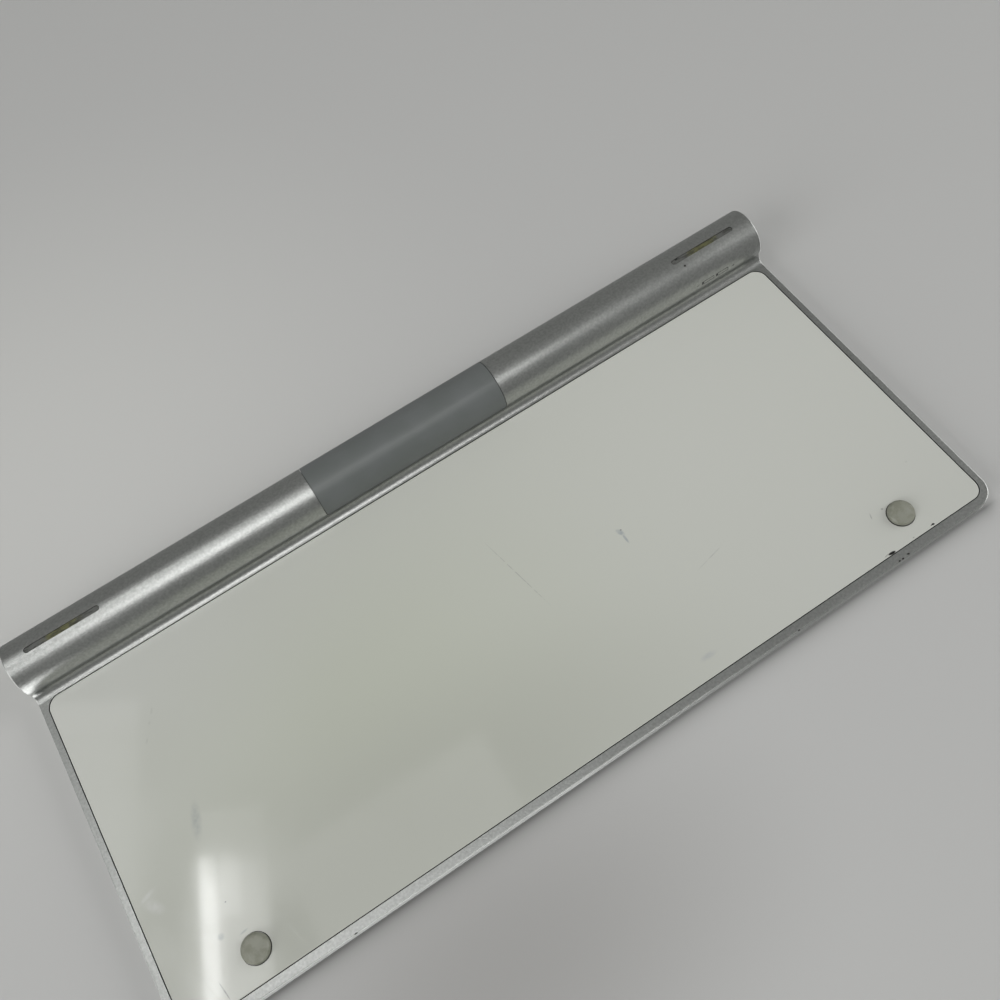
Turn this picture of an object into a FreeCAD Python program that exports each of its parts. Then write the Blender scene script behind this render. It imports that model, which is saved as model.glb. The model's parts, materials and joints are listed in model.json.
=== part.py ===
import FreeCAD, Part
import math
import os
import re

import Sketcher
from FreeCAD import Placement, Rotation, Vector

# A slim wireless keyboard: an aluminium plate that runs into a round rear tube, a flat panel
# underneath, 78 keys on scissor links, and two cells and the electronics inside the tube.
#
# Every piece is drawn in the flat board: X to the typist's right, Y to the rear, Z out of the
# keys. Y = 0 is the tube's axis and Z = 0 is the plane of the underside rim. Each piece's
# Placement then leans the board forward onto its front feet, with the desk at Z = 0.

os.makedirs("parts", exist_ok=True)
doc = FreeCAD.newDocument("wireless_keyboard")

SIZES = (
    # Aluminium case
    ("case_width", 281.9),
    ("tube_radius", 9.2),
    ("plate_thickness", 4.1),
    ("panel_depth", 109.35),
    ("front_rim", 2.7),
    ("side_rim", 2.2),
    ("panel_to_tube", 11.35),
    ("corner_radius", 6.6),
    ("edge_round", 0.3),
    ("blend_radius", 2.7),
    ("bore_radius", 8.0),
    ("desk_tilt", 6.4),
    # Underside panel, its seat and its feet
    ("panel_thickness", 0.9),
    ("panel_gap", 0.25),
    ("panel_edge_round", 0.2),
    ("seat_clearance", 0.08),
    ("ledge_width", 1.2),
    ("web_underside", 1.6),
    ("foot_radius", 4.35),
    ("foot_proud", 2.0),
    ("foot_sunk", 0.4),
    ("foot_side_inset", 25.65),
    ("foot_front_inset", 9.15),
    ("strip_length", 25.4),
    ("strip_width", 1.85),
    ("strip_pocket_depth", 0.5),
    ("strip_thickness", 0.22),
    ("strip_clearance", 0.05),
    ("strip_offset", 121.2),
    ("strip_angle", 4.7),
    # Antenna window in the tube
    ("window_length", 69.7),
    ("window_gap", 0.18),
    ("window_corner", 1.5),
    ("window_edge_rise", 1.7),
    ("window_lip_reach", 2.0),
    ("window_lip_inner", 7.0),
    ("window_lip_drop", 0.7),
    # Keys
    ("key_pitch", 19.05),
    ("key_gap", 2.9),
    ("half_key_depth", 7.9),
    ("arrow_split", 0.6),
    ("front_key_margin", 4.75),
    ("well_clearance", 0.3),
    ("cap_rise", 1.7),
    ("cap_height", 2.1),
    ("cap_top", 0.9),
    ("cap_wall", 0.9),
    ("cap_corner", 1.1),
    ("cap_edge_round", 0.3),
    # Key plate, membrane, domes, links and bars
    ("base_plate_thickness", 0.25),
    ("membrane_thickness", 0.2),
    ("layer_gap", 0.03),
    ("sheet_side_gap", 0.4),
    ("dome_radius", 3.1),
    ("dome_top_radius", 1.6),
    ("half_dome_radius", 1.4),
    ("half_dome_top_radius", 0.8),
    ("dome_wall", 0.3),
    ("dome_play", 0.05),
    ("link_thickness", 0.8),
    ("link_reach", 5.3),
    ("link_play", 0.1),
    ("outer_link_width", 13.2),
    ("outer_link_arm", 0.85),
    ("inner_link_width", 11.2),
    ("inner_link_arm", 1.6),
    ("half_outer_width", 5.6),
    ("half_outer_arm", 0.55),
    ("half_inner_width", 4.3),
    ("half_inner_arm", 0.5),
    ("link_end_bar", 1.1),
    ("bar_wire_radius", 0.4),
    ("bar_foot_length", 1.6),
    ("bar_end_inset", 6.0),
    ("screw_head_radius", 1.1),
    ("screw_shank_radius", 0.55),
    ("screw_clearance", 0.05),
    ("screw_length", 1.9),
    ("screw_spacing", 60.0),
    # Battery compartment, at the typist's left end
    ("cell_radius", 7.2),
    ("cell_length", 50.5),
    ("cell_nub_radius", 2.75),
    ("cell_nub_length", 1.0),
    ("cell_sleeve_clearance", 0.2),
    ("sleeve_clearance", 0.1),
    ("sleeve_end_wall", 1.0),
    ("cap_length", 5.6),
    ("cap_recess", 0.3),
    ("cap_clearance", 0.08),
    ("cap_head_thickness", 2.3),
    ("cap_core_radius", 7.3),
    ("thread_ridge", 0.5),
    ("coin_slot_width", 1.8),
    ("coin_slot_length", 11.0),
    ("coin_slot_depth", 1.3),
    ("seal_section", 0.55),
    ("spring_strip_width", 5.0),
    ("spring_strip_thickness", 0.3),
    ("spring_rise", 2.4),
    ("contact_radius", 5.5),
    ("contact_thickness", 0.4),
    # Electronics and power button, at the typist's right end
    ("carrier_wall", 1.0),
    ("carrier_clearance", 0.1),
    ("carrier_end_gap", 0.4),
    ("carrier_flange", 1.9),
    ("board_thickness", 0.8),
    ("board_clearance", 0.06),
    ("board_half_width", 6.3),
    ("antenna_board_end", 34.0),
    ("controller_board_start", 36.0),
    ("flex_position", 70.0),
    ("flex_width", 12.0),
    ("flex_thickness", 0.15),
    ("flex_slot_height", 0.6),
    ("flex_bend_inset", 4.4),
    ("connector_height", 1.2),
    ("light_position", 122.0),
    ("light_inset", 4.5),
    ("light_radius", 0.5),
    ("light_clearance", 0.03),
    ("ring_length", 6.5),
    ("ring_bore_radius", 4.7),
    ("ring_shoulder", 3.4),
    ("button_clearance", 0.1),
    ("button_recess", 0.5),
    ("button_head_length", 3.2),
    ("button_flange_thickness", 1.0),
    ("button_flange_reach", 1.0),
    ("button_stem_radius", 1.6),
    ("button_stem_length", 3.3),
    ("button_travel", 0.5),
    ("switch_side", 6.0),
    ("switch_depth", 3.4),
    ("switch_plunger_radius", 1.5),
    ("switch_plunger_length", 0.8),
)

sheet = doc.addObject("Spreadsheet::Sheet", "Sizes")
for row_number, (alias, value) in enumerate(SIZES, start=1):
    sheet.set(f"A{row_number}", alias)
    sheet.set(f"B{row_number}", str(value))
    sheet.setAlias(f"B{row_number}", alias)
doc.recompute()


ALIASES = {alias for alias, _ in SIZES}


def linked(formula):
    """A formula in the sheet's names, written so that another object can read them."""
    return re.sub(r"[a-z]\w*", lambda word: f"Sizes.{word[0]}" if word[0] in ALIASES else word[0], formula)


def size(formula):
    """The value of a formula in the sheet's names."""
    return float(sheet.evalExpression(formula))


# Where things lie, as formulas in the sheet's names
HALF_WIDTH = "case_width / 2"
TUBE_DROP = "(tube_radius - plate_thickness)"
FRONT = "(panel_to_tube + panel_depth + front_rim)"
PANEL_MIDDLE = "(-panel_to_tube - panel_depth / 2)"
SEAT_WIDTH = "(case_width - 2 * side_rim)"
SEAT_DEPTH = "(panel_thickness + seat_clearance)"
CAVITY_CORNER = "(corner_radius - side_rim - ledge_width)"
SHEET_WIDTH = f"({SEAT_WIDTH} - 2 * ledge_width - 2 * sheet_side_gap)"
SHEET_LENGTH = "(panel_depth - 2 * ledge_width - 2 * sheet_side_gap)"
MEMBRANE_BASE = f"({SEAT_DEPTH} + layer_gap + base_plate_thickness + layer_gap)"
MEMBRANE_TOP = f"({MEMBRANE_BASE} + membrane_thickness)"
CAP_BASE = "(plate_thickness + cap_rise - cap_height)"
CAP_CEILING = "(plate_thickness + cap_rise - cap_top)"
KEY_DEPTH = "(key_pitch - key_gap)"
FIRST_ROW = f"(-{FRONT} + front_key_margin + {KEY_DEPTH} / 2)"
LEFT_END = f"(-{HALF_WIDTH})"
CAP_FACE = f"({LEFT_END} + cap_recess)"
CAP_INNER = f"({CAP_FACE} + cap_length)"
CELL_START = f"({CAP_INNER} + spring_rise + spring_strip_thickness + dome_play)"
CELLS_END = f"({CELL_START} + 2 * cell_length)"
CARRIER_START = f"({CELLS_END} + contact_thickness + 2 * dome_play + sleeve_end_wall + carrier_end_gap)"
CARRIER_END = f"({HALF_WIDTH} - ring_length - carrier_end_gap)"
CARRIER_OUTER = "(bore_radius - carrier_clearance)"
BOARD_BASE = "(carrier_wall + board_clearance)"
BOARD_TOP = f"({BOARD_BASE} + board_thickness)"
HEAD_START = f"({HALF_WIDTH} - button_recess - button_head_length)"
STEM_END = f"({HEAD_START} - button_flange_thickness - button_stem_length)"
SWITCH_FACE = f"({STEM_END} - button_travel - dome_play - switch_plunger_length)"
WINDOW_TOP = f"(-{TUBE_DROP} + window_edge_rise)"

# Key rows from the front to the rear: each key's name and its width in pitches
KEY_ROWS = (
    (("fn", 1), ("control", 1), ("alt_left", 1), ("meta_left", 1.25), ("space", 5),
     ("meta_right", 1.25), ("alt_right", 1), ("arrow_left", 1), ("arrow_up_down", 1), ("arrow_right", 1)),
    (("shift_left", 2.25), *((name, 1) for name in "zxcvbnm"),
     ("comma", 1), ("period", 1), ("slash", 1), ("shift_right", 2.25)),
    (("caps", 1.75), *((name, 1) for name in "asdfghjkl"), ("semicolon", 1), ("quote", 1), ("enter", 1.75)),
    (("tab", 1.5), *((name, 1) for name in "qwertyuiop"),
     ("bracket_left", 1), ("bracket_right", 1), ("backslash", 1)),
    (("grave", 1), *((f"digit_{name}", 1) for name in "1234567890"),
     ("minus", 1), ("equal", 1), ("backspace", 1.5)),
)
ROW_PITCHES = sum(width for _, width in KEY_ROWS[0])
FUNCTION_KEYS = ("escape", *(f"f{number}" for number in range(1, 13)), "power_down")
FUNCTION_PITCH = ROW_PITCHES / len(FUNCTION_KEYS)
SCREW_COLUMNS = (-2, -1, 0, 1, 2)
THREAD_RIDGES = range(3)
BARRED_KEYS = ("space", "shift_left", "shift_right", "caps", "enter")


def well_places():
    """Every key well's name with formulas for its middle, and for the width and depth of its cap."""
    places = []
    for row, keys in enumerate(KEY_ROWS):
        passed = -ROW_PITCHES / 2
        for name, pitches in keys:
            x = f"(key_pitch * {passed + pitches / 2})"
            width = f"(key_pitch * {pitches} - key_gap)"
            places.append((name, x, f"({FIRST_ROW} + {row} * key_pitch)", width, KEY_DEPTH))
            passed += pitches
    middle = f"({FIRST_ROW} + {len(KEY_ROWS)} * key_pitch - ({KEY_DEPTH} - half_key_depth) / 2)"
    for column, name in enumerate(FUNCTION_KEYS):
        x = f"(key_pitch * {(column + 0.5) * FUNCTION_PITCH - ROW_PITCHES / 2})"
        places.append((name, x, middle, f"(key_pitch * {FUNCTION_PITCH} - key_gap)", "half_key_depth"))
    return places


def key_places():
    """The same for every key; the up and down arrows are half keys in one well."""
    places = []
    for name, x, y, width, depth in well_places():
        if name == "arrow_up_down":
            half = f"(({depth} - arrow_split) / 2)"
            shift = f"({depth} + arrow_split) / 4"
            places.append(("arrow_up", x, f"({y} + {shift})", width, half))
            places.append(("arrow_down", x, f"({y} - {shift})", width, half))
        else:
            places.append((name, x, y, width, depth))
    return places


def board_place(x=0, y=0, z=0):
    """A place in the flat board, leaned forward onto the desk and centred front to rear."""
    tilt = math.radians(size("desk_tilt"))
    rear = size(TUBE_DROP) * math.sin(tilt) + size("tube_radius")
    nose_y = size(f"edge_round - {FRONT}")
    nose_z = size("plate_thickness - edge_round")
    front = nose_y * math.cos(tilt) - nose_z * math.sin(tilt) - size("edge_round")
    lift = size(TUBE_DROP) * math.cos(tilt) + size("tube_radius")
    lean = Placement(Vector(0, -(rear + front) / 2, lift), Rotation(Vector(1, 0, 0), math.degrees(tilt)))
    return lean.multiply(Placement(Vector(x, y, z), Rotation()))


def tube_place():
    """The place of pieces drawn about the tube's axis."""
    return board_place(0, 0, -size(TUBE_DROP))


# Drawing helpers

def new_body(name):
    return doc.addObject("PartDesign::Body", name)


def new_sketch(body, name, plane, lift=None):
    """A sketch on one of the body's own planes, lifted along the plane's normal."""
    sketch = body.newObject("Sketcher::SketchObject", name)
    origin_plane = next(feature for feature in body.Origin.OriginFeatures if feature.Role == plane)
    sketch.AttachmentSupport = [(origin_plane, "")]
    sketch.MapMode = "FlatFace"
    if lift is not None:
        sketch.setExpression("AttachmentOffset.Base.z", linked(lift))
    return sketch


def constrain(sketch, kind, *where, formula=None):
    """Adds a constraint, and ties its size to a formula in the sheet's names."""
    if formula is None:
        sketch.addConstraint(Sketcher.Constraint(kind, *where))
        return
    index = sketch.addConstraint(Sketcher.Constraint(kind, *where, size(formula)))
    sketch.setExpression(f"Constraints[{index}]", linked(formula))


ORIGIN = (-1, 1)
X_AXIS = -1
Y_AXIS = -2
START, END, CENTRE = 1, 2, 3


def outline(sketch, corners):
    """A closed outline of straight lines whose corners are pairs of formulas."""
    points = [Vector(size(x), size(y), 0) for x, y in corners]
    first = len(sketch.Geometry)
    for start, end in zip(points, points[1:] + points[:1]):
        sketch.addGeometry(Part.LineSegment(start, end))
    for step, (x, y) in enumerate(corners):
        line = first + step
        following = first + (step + 1) % len(corners)
        constrain(sketch, "Coincident", line, END, following, START)
        constrain(sketch, "DistanceX", *ORIGIN, line, START, formula=x)
        constrain(sketch, "DistanceY", *ORIGIN, line, START, formula=y)


def circle(sketch, radius, x="0", y="0"):
    middle = Vector(size(x), size(y), 0)
    index = sketch.addGeometry(Part.Circle(middle, Vector(0, 0, 1), size(radius)))
    constrain(sketch, "Radius", index, formula=radius)
    constrain(sketch, "DistanceX", *ORIGIN, index, CENTRE, formula=x)
    constrain(sketch, "DistanceY", *ORIGIN, index, CENTRE, formula=y)


def rounded_rectangle(sketch, width, depth, corner, x="0", y="0"):
    """Four lines and four tangent arcs about a middle, all sizes as formulas."""
    half_width, half_depth = size(width) / 2, size(depth) / 2
    r = size(corner)
    middle = Vector(size(x), size(y), 0)
    first = len(sketch.Geometry)
    signs = ((-1, -1), (1, -1), (1, 1), (-1, 1))
    for step, (across, along) in enumerate(signs):
        turn = Rotation(Vector(0, 0, 1), 90 * step)
        centre = middle + Vector(across * (half_width - r), along * (half_depth - r), 0)
        next_across, next_along = signs[(step + 1) % 4]
        next_centre = middle + Vector(next_across * (half_width - r), next_along * (half_depth - r), 0)
        side = turn.multVec(Vector(0, -r, 0))
        sketch.addGeometry(Part.LineSegment(centre + side, next_centre + side))
        arc = Part.ArcOfCircle(Part.Circle(next_centre, Vector(0, 0, 1), r),
                               math.radians(90 * (step - 1)), math.radians(90 * step))
        sketch.addGeometry(arc)
    for step in range(4):
        line, arc = first + 2 * step, first + 2 * step + 1
        following = first + (2 * step + 2) % 8
        constrain(sketch, "Tangent", line, END, arc, START)
        constrain(sketch, "Tangent", arc, END, following, START)
        constrain(sketch, "Horizontal" if step % 2 == 0 else "Vertical", line)
        if step:
            constrain(sketch, "Equal", first + 1, arc)
    constrain(sketch, "Radius", first + 1, formula=corner)
    constrain(sketch, "DistanceX", first + 6, END, first + 2, START, formula=width)
    constrain(sketch, "DistanceY", first, START, first + 4, END, formula=depth)
    constrain(sketch, "DistanceX", *ORIGIN, first + 2, START, formula=f"{x} + {width} / 2")
    constrain(sketch, "DistanceY", *ORIGIN, first + 4, START, formula=f"{y} + {depth} / 2")


def pad(body, sketch, length, **settings):
    feature = body.newObject("PartDesign::Pad", f"{sketch.Name}_pad")
    feature.Profile = sketch
    feature.setExpression("Length", linked(length))
    for name, value in settings.items():
        setattr(feature, name, value)
    return feature


def pocket(body, sketch, length=None, **settings):
    """Cuts a sketch to a depth, or right through where no depth is given."""
    feature = body.newObject("PartDesign::Pocket", f"{sketch.Name}_pocket")
    feature.Profile = sketch
    if length is None:
        feature.Type = "ThroughAll"
    else:
        feature.setExpression("Length", linked(length))
    for name, value in settings.items():
        setattr(feature, name, value)
    return feature


def turned(body, sketch, axis="H_Axis"):
    """Turns a sketch a full circle about one of its own axes."""
    feature = body.newObject("PartDesign::Revolution", f"{sketch.Name}_turned")
    feature.Profile = sketch
    feature.ReferenceAxis = (sketch, [axis])
    feature.Angle = 360
    return feature


def repeated(body, feature, sketch, axis, spacing, count):
    """Repeats a feature in a straight line along one of its sketch's axes."""
    pattern = body.newObject("PartDesign::LinearPattern", f"{feature.Name}_repeated")
    pattern.Originals = [feature]
    pattern.Direction = (sketch, [axis])
    pattern.setExpression("Length", linked(f"{spacing} * {count - 1}"))
    pattern.Occurrences = count
    body.Tip = pattern
    return pattern


def rounded(body, base, chosen, radius):
    """Rounds the edges of a feature that a test chooses."""
    doc.recompute()
    edges = [f"Edge{number}" for number, edge in enumerate(base.Shape.Edges, start=1) if chosen(edge)]
    feature = body.newObject("PartDesign::Fillet", f"{base.Name}_rounded")
    feature.Base = (base, edges)
    feature.setExpression("Radius", linked(radius))
    return feature


def lies_at(edge, **place):
    """True where every end and middle of an edge has the given X, Y or Z."""
    ends = [edge.valueAt(edge.FirstParameter), edge.valueAt(edge.LastParameter),
            edge.valueAt((edge.FirstParameter + edge.LastParameter) / 2)]
    return all(abs(getattr(point, axis) - value) < 1e-4 for point in ends for axis, value in place.items())


def box(name, low, high):
    """A box between two corners, each corner three formulas."""
    item = doc.addObject("Part::Box", name)
    for edge, axis, start, end in zip(("Length", "Width", "Height"), "xyz", low, high):
        item.setExpression(edge, linked(f"({end}) - ({start})"))
        item.setExpression(f"Placement.Base.{axis}", linked(start))
    return item


def rod(name, radius, start, end):
    """A cylinder along the tube's axis."""
    item = doc.addObject("Part::Cylinder", name)
    item.Placement = Placement(Vector(), Rotation(Vector(0, 1, 0), 90))
    item.setExpression("Radius", linked(radius))
    item.setExpression("Height", linked(f"({end}) - ({start})"))
    item.setExpression("Placement.Base.x", linked(start))
    return item


def cut(name, base, tool):
    item = doc.addObject("Part::Cut", name)
    item.Base, item.Tool = base, tool
    return item


def fuse(name, items):
    item = doc.addObject("Part::MultiFuse", name)
    item.Shapes = items
    return item


def common(name, base, tool):
    item = doc.addObject("Part::MultiCommon", name)
    item.Shapes = [base, tool]
    return item


def group(name, items):
    item = doc.addObject("Part::Compound", name)
    item.Links = items
    return item


def copies(name, master, places):
    """Separate copies of one master's solid, kept together as one piece of the parts list."""
    item = doc.addObject("Part::Feature", name)
    solids = []
    for place in places:
        solid = master.Shape.copy()
        solid.Placement = place.multiply(solid.Placement)
        solids.append(solid)
    item.Shape = Part.makeCompound(solids)
    return item


pieces = []


def piece(item, name, place=None):
    """Names a finished piece, puts it in its place and adds it to the parts list."""
    item.Label = name
    if place is not None:
        item.Placement = place
    pieces.append(item)
    return item


# Aluminium case

def case_side_outline(sketch):
    """The case from its end: plate, tube and the hollow blend between them."""
    radius, blend, drop = size("tube_radius"), size("blend_radius"), size(TUBE_DROP)
    thickness, front = size("plate_thickness"), -size(FRONT)
    blend_y = -math.sqrt((radius + blend) ** 2 - (drop - blend) ** 2)
    toward_blend = math.atan2(drop - blend, blend_y)
    tube = Part.Circle(Vector(0, -drop, 0), Vector(0, 0, 1), radius)
    hollow = Part.Circle(Vector(blend_y, -blend, 0), Vector(0, 0, 1), blend)
    sketch.addGeometry([
        Part.LineSegment(Vector(blend_y, 0, 0), Vector(front, 0, 0)),
        Part.LineSegment(Vector(front, 0, 0), Vector(front, thickness, 0)),
        Part.LineSegment(Vector(front, thickness, 0), Vector(0, thickness, 0)),
        Part.ArcOfCircle(tube, toward_blend - 2 * math.pi, math.pi / 2),
        Part.ArcOfCircle(hollow, toward_blend - math.pi, math.pi / 2),
    ])
    rim, nose, top, tube_arc, hollow_arc = range(5)
    constrain(sketch, "Coincident", rim, END, nose, START)
    constrain(sketch, "Coincident", nose, END, top, START)
    constrain(sketch, "Tangent", top, END, tube_arc, END)
    constrain(sketch, "Tangent", tube_arc, START, hollow_arc, START)
    constrain(sketch, "Tangent", hollow_arc, END, rim, START)
    constrain(sketch, "Horizontal", rim)
    constrain(sketch, "Vertical", nose)
    constrain(sketch, "Horizontal", top)
    constrain(sketch, "PointOnObject", rim, END, X_AXIS)
    constrain(sketch, "PointOnObject", tube_arc, CENTRE, Y_AXIS)
    constrain(sketch, "Radius", tube_arc, formula="tube_radius")
    constrain(sketch, "Radius", hollow_arc, formula="blend_radius")
    constrain(sketch, "DistanceY", nose, START, nose, END, formula="plate_thickness")
    constrain(sketch, "DistanceX", nose, START, *ORIGIN, formula=FRONT)


def key_wells():
    """One cutter for each key well, copied from one master of each size."""
    masters = {}
    cutters = []
    for name, x, y, width, depth in well_places():
        if (width, depth) not in masters:
            body = new_body(f"well_{name}")
            sketch = new_sketch(body, f"well_{name}_outline", "XY_Plane")
            rounded_rectangle(sketch, f"({width} + 2 * well_clearance)", f"({depth} + 2 * well_clearance)",
                              "(cap_corner + well_clearance)")
            pad(body, sketch, "2 * plate_thickness")
            masters[width, depth] = (body, [])
        masters[width, depth][1].append(Placement(Vector(size(x), size(y), 0), Rotation()))
    doc.recompute()
    for body, places in masters.values():
        cutters.append(copies(f"{body.Name}_cutters", body, places))
    return group("key_wells", cutters)


FIRST_WEB = f"({FIRST_ROW} + key_pitch / 2)"


def screw_holes(body, name, radius, depth):
    """Round holes at the screws' places, five along each web between two key rows."""
    sketch = new_sketch(body, name, "XY_Plane")
    for column in SCREW_COLUMNS:
        circle(sketch, radius, f"(screw_spacing * {column})", FIRST_WEB)
    holes = pocket(body, sketch, depth, Reversed=True)
    return repeated(body, holes, sketch, "V_Axis", "key_pitch", len(KEY_ROWS))


def strip_sketch(body, name, side, spare):
    """A long slot on the tube's underside where one rear foot strip lies, its floor as the plane."""
    sketch = new_sketch(body, name, "XY_Plane")
    angle = math.radians(size("strip_angle"))
    floor = size("tube_radius - strip_pocket_depth")
    sketch.AttachmentOffset = Placement(
        Vector(0, -floor * math.sin(angle), -size(TUBE_DROP) - floor * math.cos(angle)),
        Rotation(Vector(1, 0, 0), -math.degrees(angle)))
    rounded_rectangle(sketch, f"(strip_length + 2 * {spare})", f"(strip_width + 2 * {spare})",
                      f"(strip_width * 0.49 + {spare})", f"({side} * strip_offset)")
    return sketch


def along(edge, axis, length):
    """True where an edge runs straight along an axis for just a given length."""
    start, end = edge.valueAt(edge.FirstParameter), edge.valueAt(edge.LastParameter)
    others = [name for name in "xyz" if name != axis]
    straight = all(abs(getattr(start, name) - getattr(end, name)) < 1e-4 for name in others)
    return straight and abs(abs(getattr(start, axis) - getattr(end, axis)) - size(length)) < 1e-4


def rectangle(left, low, right, high):
    return ((left, low), (right, low), (right, high), (left, high))


def top_case():
    body = new_body("case_shell")
    side = new_sketch(body, "side_outline", "YZ_Plane")
    case_side_outline(side)
    plate = pad(body, side, "case_width", Midplane=True)
    corners = rounded(body, plate, lambda edge: lies_at(edge, y=-size(FRONT))
                      and along(edge, "z", "plate_thickness"), "corner_radius")
    rounded(body, corners, lambda edge: not along(edge, "x", "case_width")
            and not along(edge, "z", "plate_thickness"), "edge_round")
    bore = new_sketch(body, "tube_bore", "YZ_Plane")
    circle(bore, "bore_radius", "0", f"-{TUBE_DROP}")
    pocket(body, bore, Midplane=True)
    seat = new_sketch(body, "panel_seat", "XY_Plane")
    rounded_rectangle(seat, SEAT_WIDTH, "panel_depth", "(corner_radius - side_rim)", "0", PANEL_MIDDLE)
    pocket(body, seat, f"2 * {SEAT_DEPTH}", Midplane=True)
    cavity = new_sketch(body, "sheet_cavity", "XY_Plane")
    rounded_rectangle(cavity, f"({SEAT_WIDTH} - 2 * ledge_width)", "(panel_depth - 2 * ledge_width)",
                      CAVITY_CORNER, "0", PANEL_MIDDLE)
    pocket(body, cavity, "web_underside", Reversed=True)
    window = new_sketch(body, "window_opening", "XZ_Plane")
    rounded_rectangle(window, "window_length", "(2 * tube_radius)", "window_corner",
                      "0", f"({WINDOW_TOP} - tube_radius)")
    pocket(body, window, Midplane=True)
    for side_name, sign in (("left", -1), ("right", 1)):
        slot = strip_sketch(body, f"strip_pocket_{side_name}", sign, "strip_clearance")
        pocket(body, slot, "2 * strip_pocket_depth")
    flex_slot = new_sketch(body, "flex_slot", "XZ_Plane")
    outline(flex_slot, rectangle("(flex_position - flex_width / 2 - well_clearance)",
                                 "(web_underside - flex_slot_height)",
                                 "(flex_position + flex_width / 2 + well_clearance)", "web_underside"))
    pocket(body, flex_slot, "(panel_to_tube + ledge_width + sheet_side_gap)", Reversed=True)
    light = new_sketch(body, "light_hole", "XY_Plane")
    circle(light, "(light_radius + light_clearance)", "light_position", "-light_inset")
    pocket(body, light, Reversed=True)
    screw_holes(body, "web_screw_holes", "(screw_shank_radius + screw_clearance)",
                f"({MEMBRANE_BASE} + screw_length + screw_clearance)")
    return piece(cut("case_with_wells", body, key_wells()), "top_case", board_place())


# Underside

def foot_places():
    x = size(f"{SEAT_WIDTH} / 2 - foot_side_inset")
    y = size("foot_front_inset - panel_to_tube - panel_depth")
    return [(-x, y), (x, y)]


def bottom_panel():
    body = new_body("bottom_panel_body")
    sketch = new_sketch(body, "panel_outline", "XY_Plane")
    rounded_rectangle(sketch, f"({SEAT_WIDTH} - 2 * panel_gap)", "(panel_depth - 2 * panel_gap)",
                      "(corner_radius - side_rim - panel_gap)", "0", PANEL_MIDDLE)
    sheet_pad = pad(body, sketch, "panel_thickness")
    rounded(body, sheet_pad, lambda edge: lies_at(edge, z=0), "panel_edge_round")
    sinks = new_sketch(body, "foot_sinks", "XY_Plane")
    for sign in (-1, 1):
        circle(sinks, "(foot_radius + strip_clearance)", f"({sign} * ({SEAT_WIDTH} / 2 - foot_side_inset))",
               "(foot_front_inset - panel_to_tube - panel_depth)")
    pocket(body, sinks, "foot_sunk", Reversed=True)
    return piece(body, "bottom_panel", board_place())


def front_feet():
    """Two soft discs let into the panel, worn flat where they stand on the desk."""
    desk = doc.addObject("Part::Box", "desk")
    desk.setExpression("Length", linked("2 * case_width"))
    desk.setExpression("Width", linked("2 * case_width"))
    desk.setExpression("Height", linked("case_width"))
    desk.setExpression("Placement.Base.x", linked("-case_width"))
    desk.setExpression("Placement.Base.y", linked("-case_width"))
    desk.setExpression("Placement.Base.z", linked("-case_width"))
    feet = []
    for side_name, (x, y) in zip(("left", "right"), foot_places()):
        disc = doc.addObject("Part::Cylinder", f"front_foot_{side_name}_disc")
        disc.setExpression("Radius", linked("foot_radius"))
        disc.setExpression("Height", linked("foot_proud + foot_sunk"))
        disc.Placement = board_place(x, y, -size("foot_proud"))
        feet.append(cut(f"front_foot_{side_name}", disc, desk))
    return piece(group("front_feet_pair", feet), "front_feet")


def rear_foot_strips():
    strips = []
    for side_name, sign in (("left", -1), ("right", 1)):
        body = new_body(f"rear_strip_{side_name}")
        sketch = strip_sketch(body, f"rear_strip_{side_name}_outline", sign, "0")
        pad(body, sketch, "strip_thickness", Reversed=True)
        strips.append(body)
    return piece(group("rear_strips", strips), "rear_foot_strips", board_place())


def antenna_window():
    """A plastic shell let flush into the tube's underside, with an inner lip behind its right end."""
    body = new_body("window_slab")
    sketch = new_sketch(body, "window_outline", "XZ_Plane")
    rounded_rectangle(sketch, "(window_length - 2 * window_gap)", "(2 * tube_radius)",
                      "(window_corner - window_gap)", "0",
                      "(window_edge_rise - window_gap - tube_radius)")
    pad(body, sketch, "2 * tube_radius", Midplane=True)
    middle = "(window_length / 2 - window_gap)"
    shell = cut("window_shell", rod("window_outside", "tube_radius", f"-{middle}", middle),
                rod("window_inside", "bore_radius", f"-{middle}", middle))
    lip_end = "(window_length / 2 + window_lip_reach)"
    lip_start = f"({CARRIER_START} + carrier_end_gap)"
    lip_tube = cut("window_lip_tube", rod("window_lip_outside", CARRIER_OUTER, lip_start, lip_end),
                   rod("window_lip_inside", "window_lip_inner", lip_start, lip_end))
    lip_low = box("window_lip_low", (lip_start, "-tube_radius", "-tube_radius"),
                  (lip_end, "tube_radius", "-window_lip_drop"))
    bond = cut("window_bond",
               rod("window_bond_outside", "(bore_radius + carrier_clearance)", lip_start, middle),
               rod("window_bond_inside", "window_lip_inner", lip_start, middle))
    bond_low = box("window_bond_low", (lip_start, "-tube_radius", "-tube_radius"),
                   (middle, "tube_radius", "-2 * window_lip_drop"))
    parts = [common("window_shell_low", body, shell), common("window_lip", lip_tube, lip_low),
             common("window_bond_layer", bond, bond_low)]
    return piece(fuse("window_insert", parts), "antenna_window", tube_place())


# Battery compartment

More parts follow.
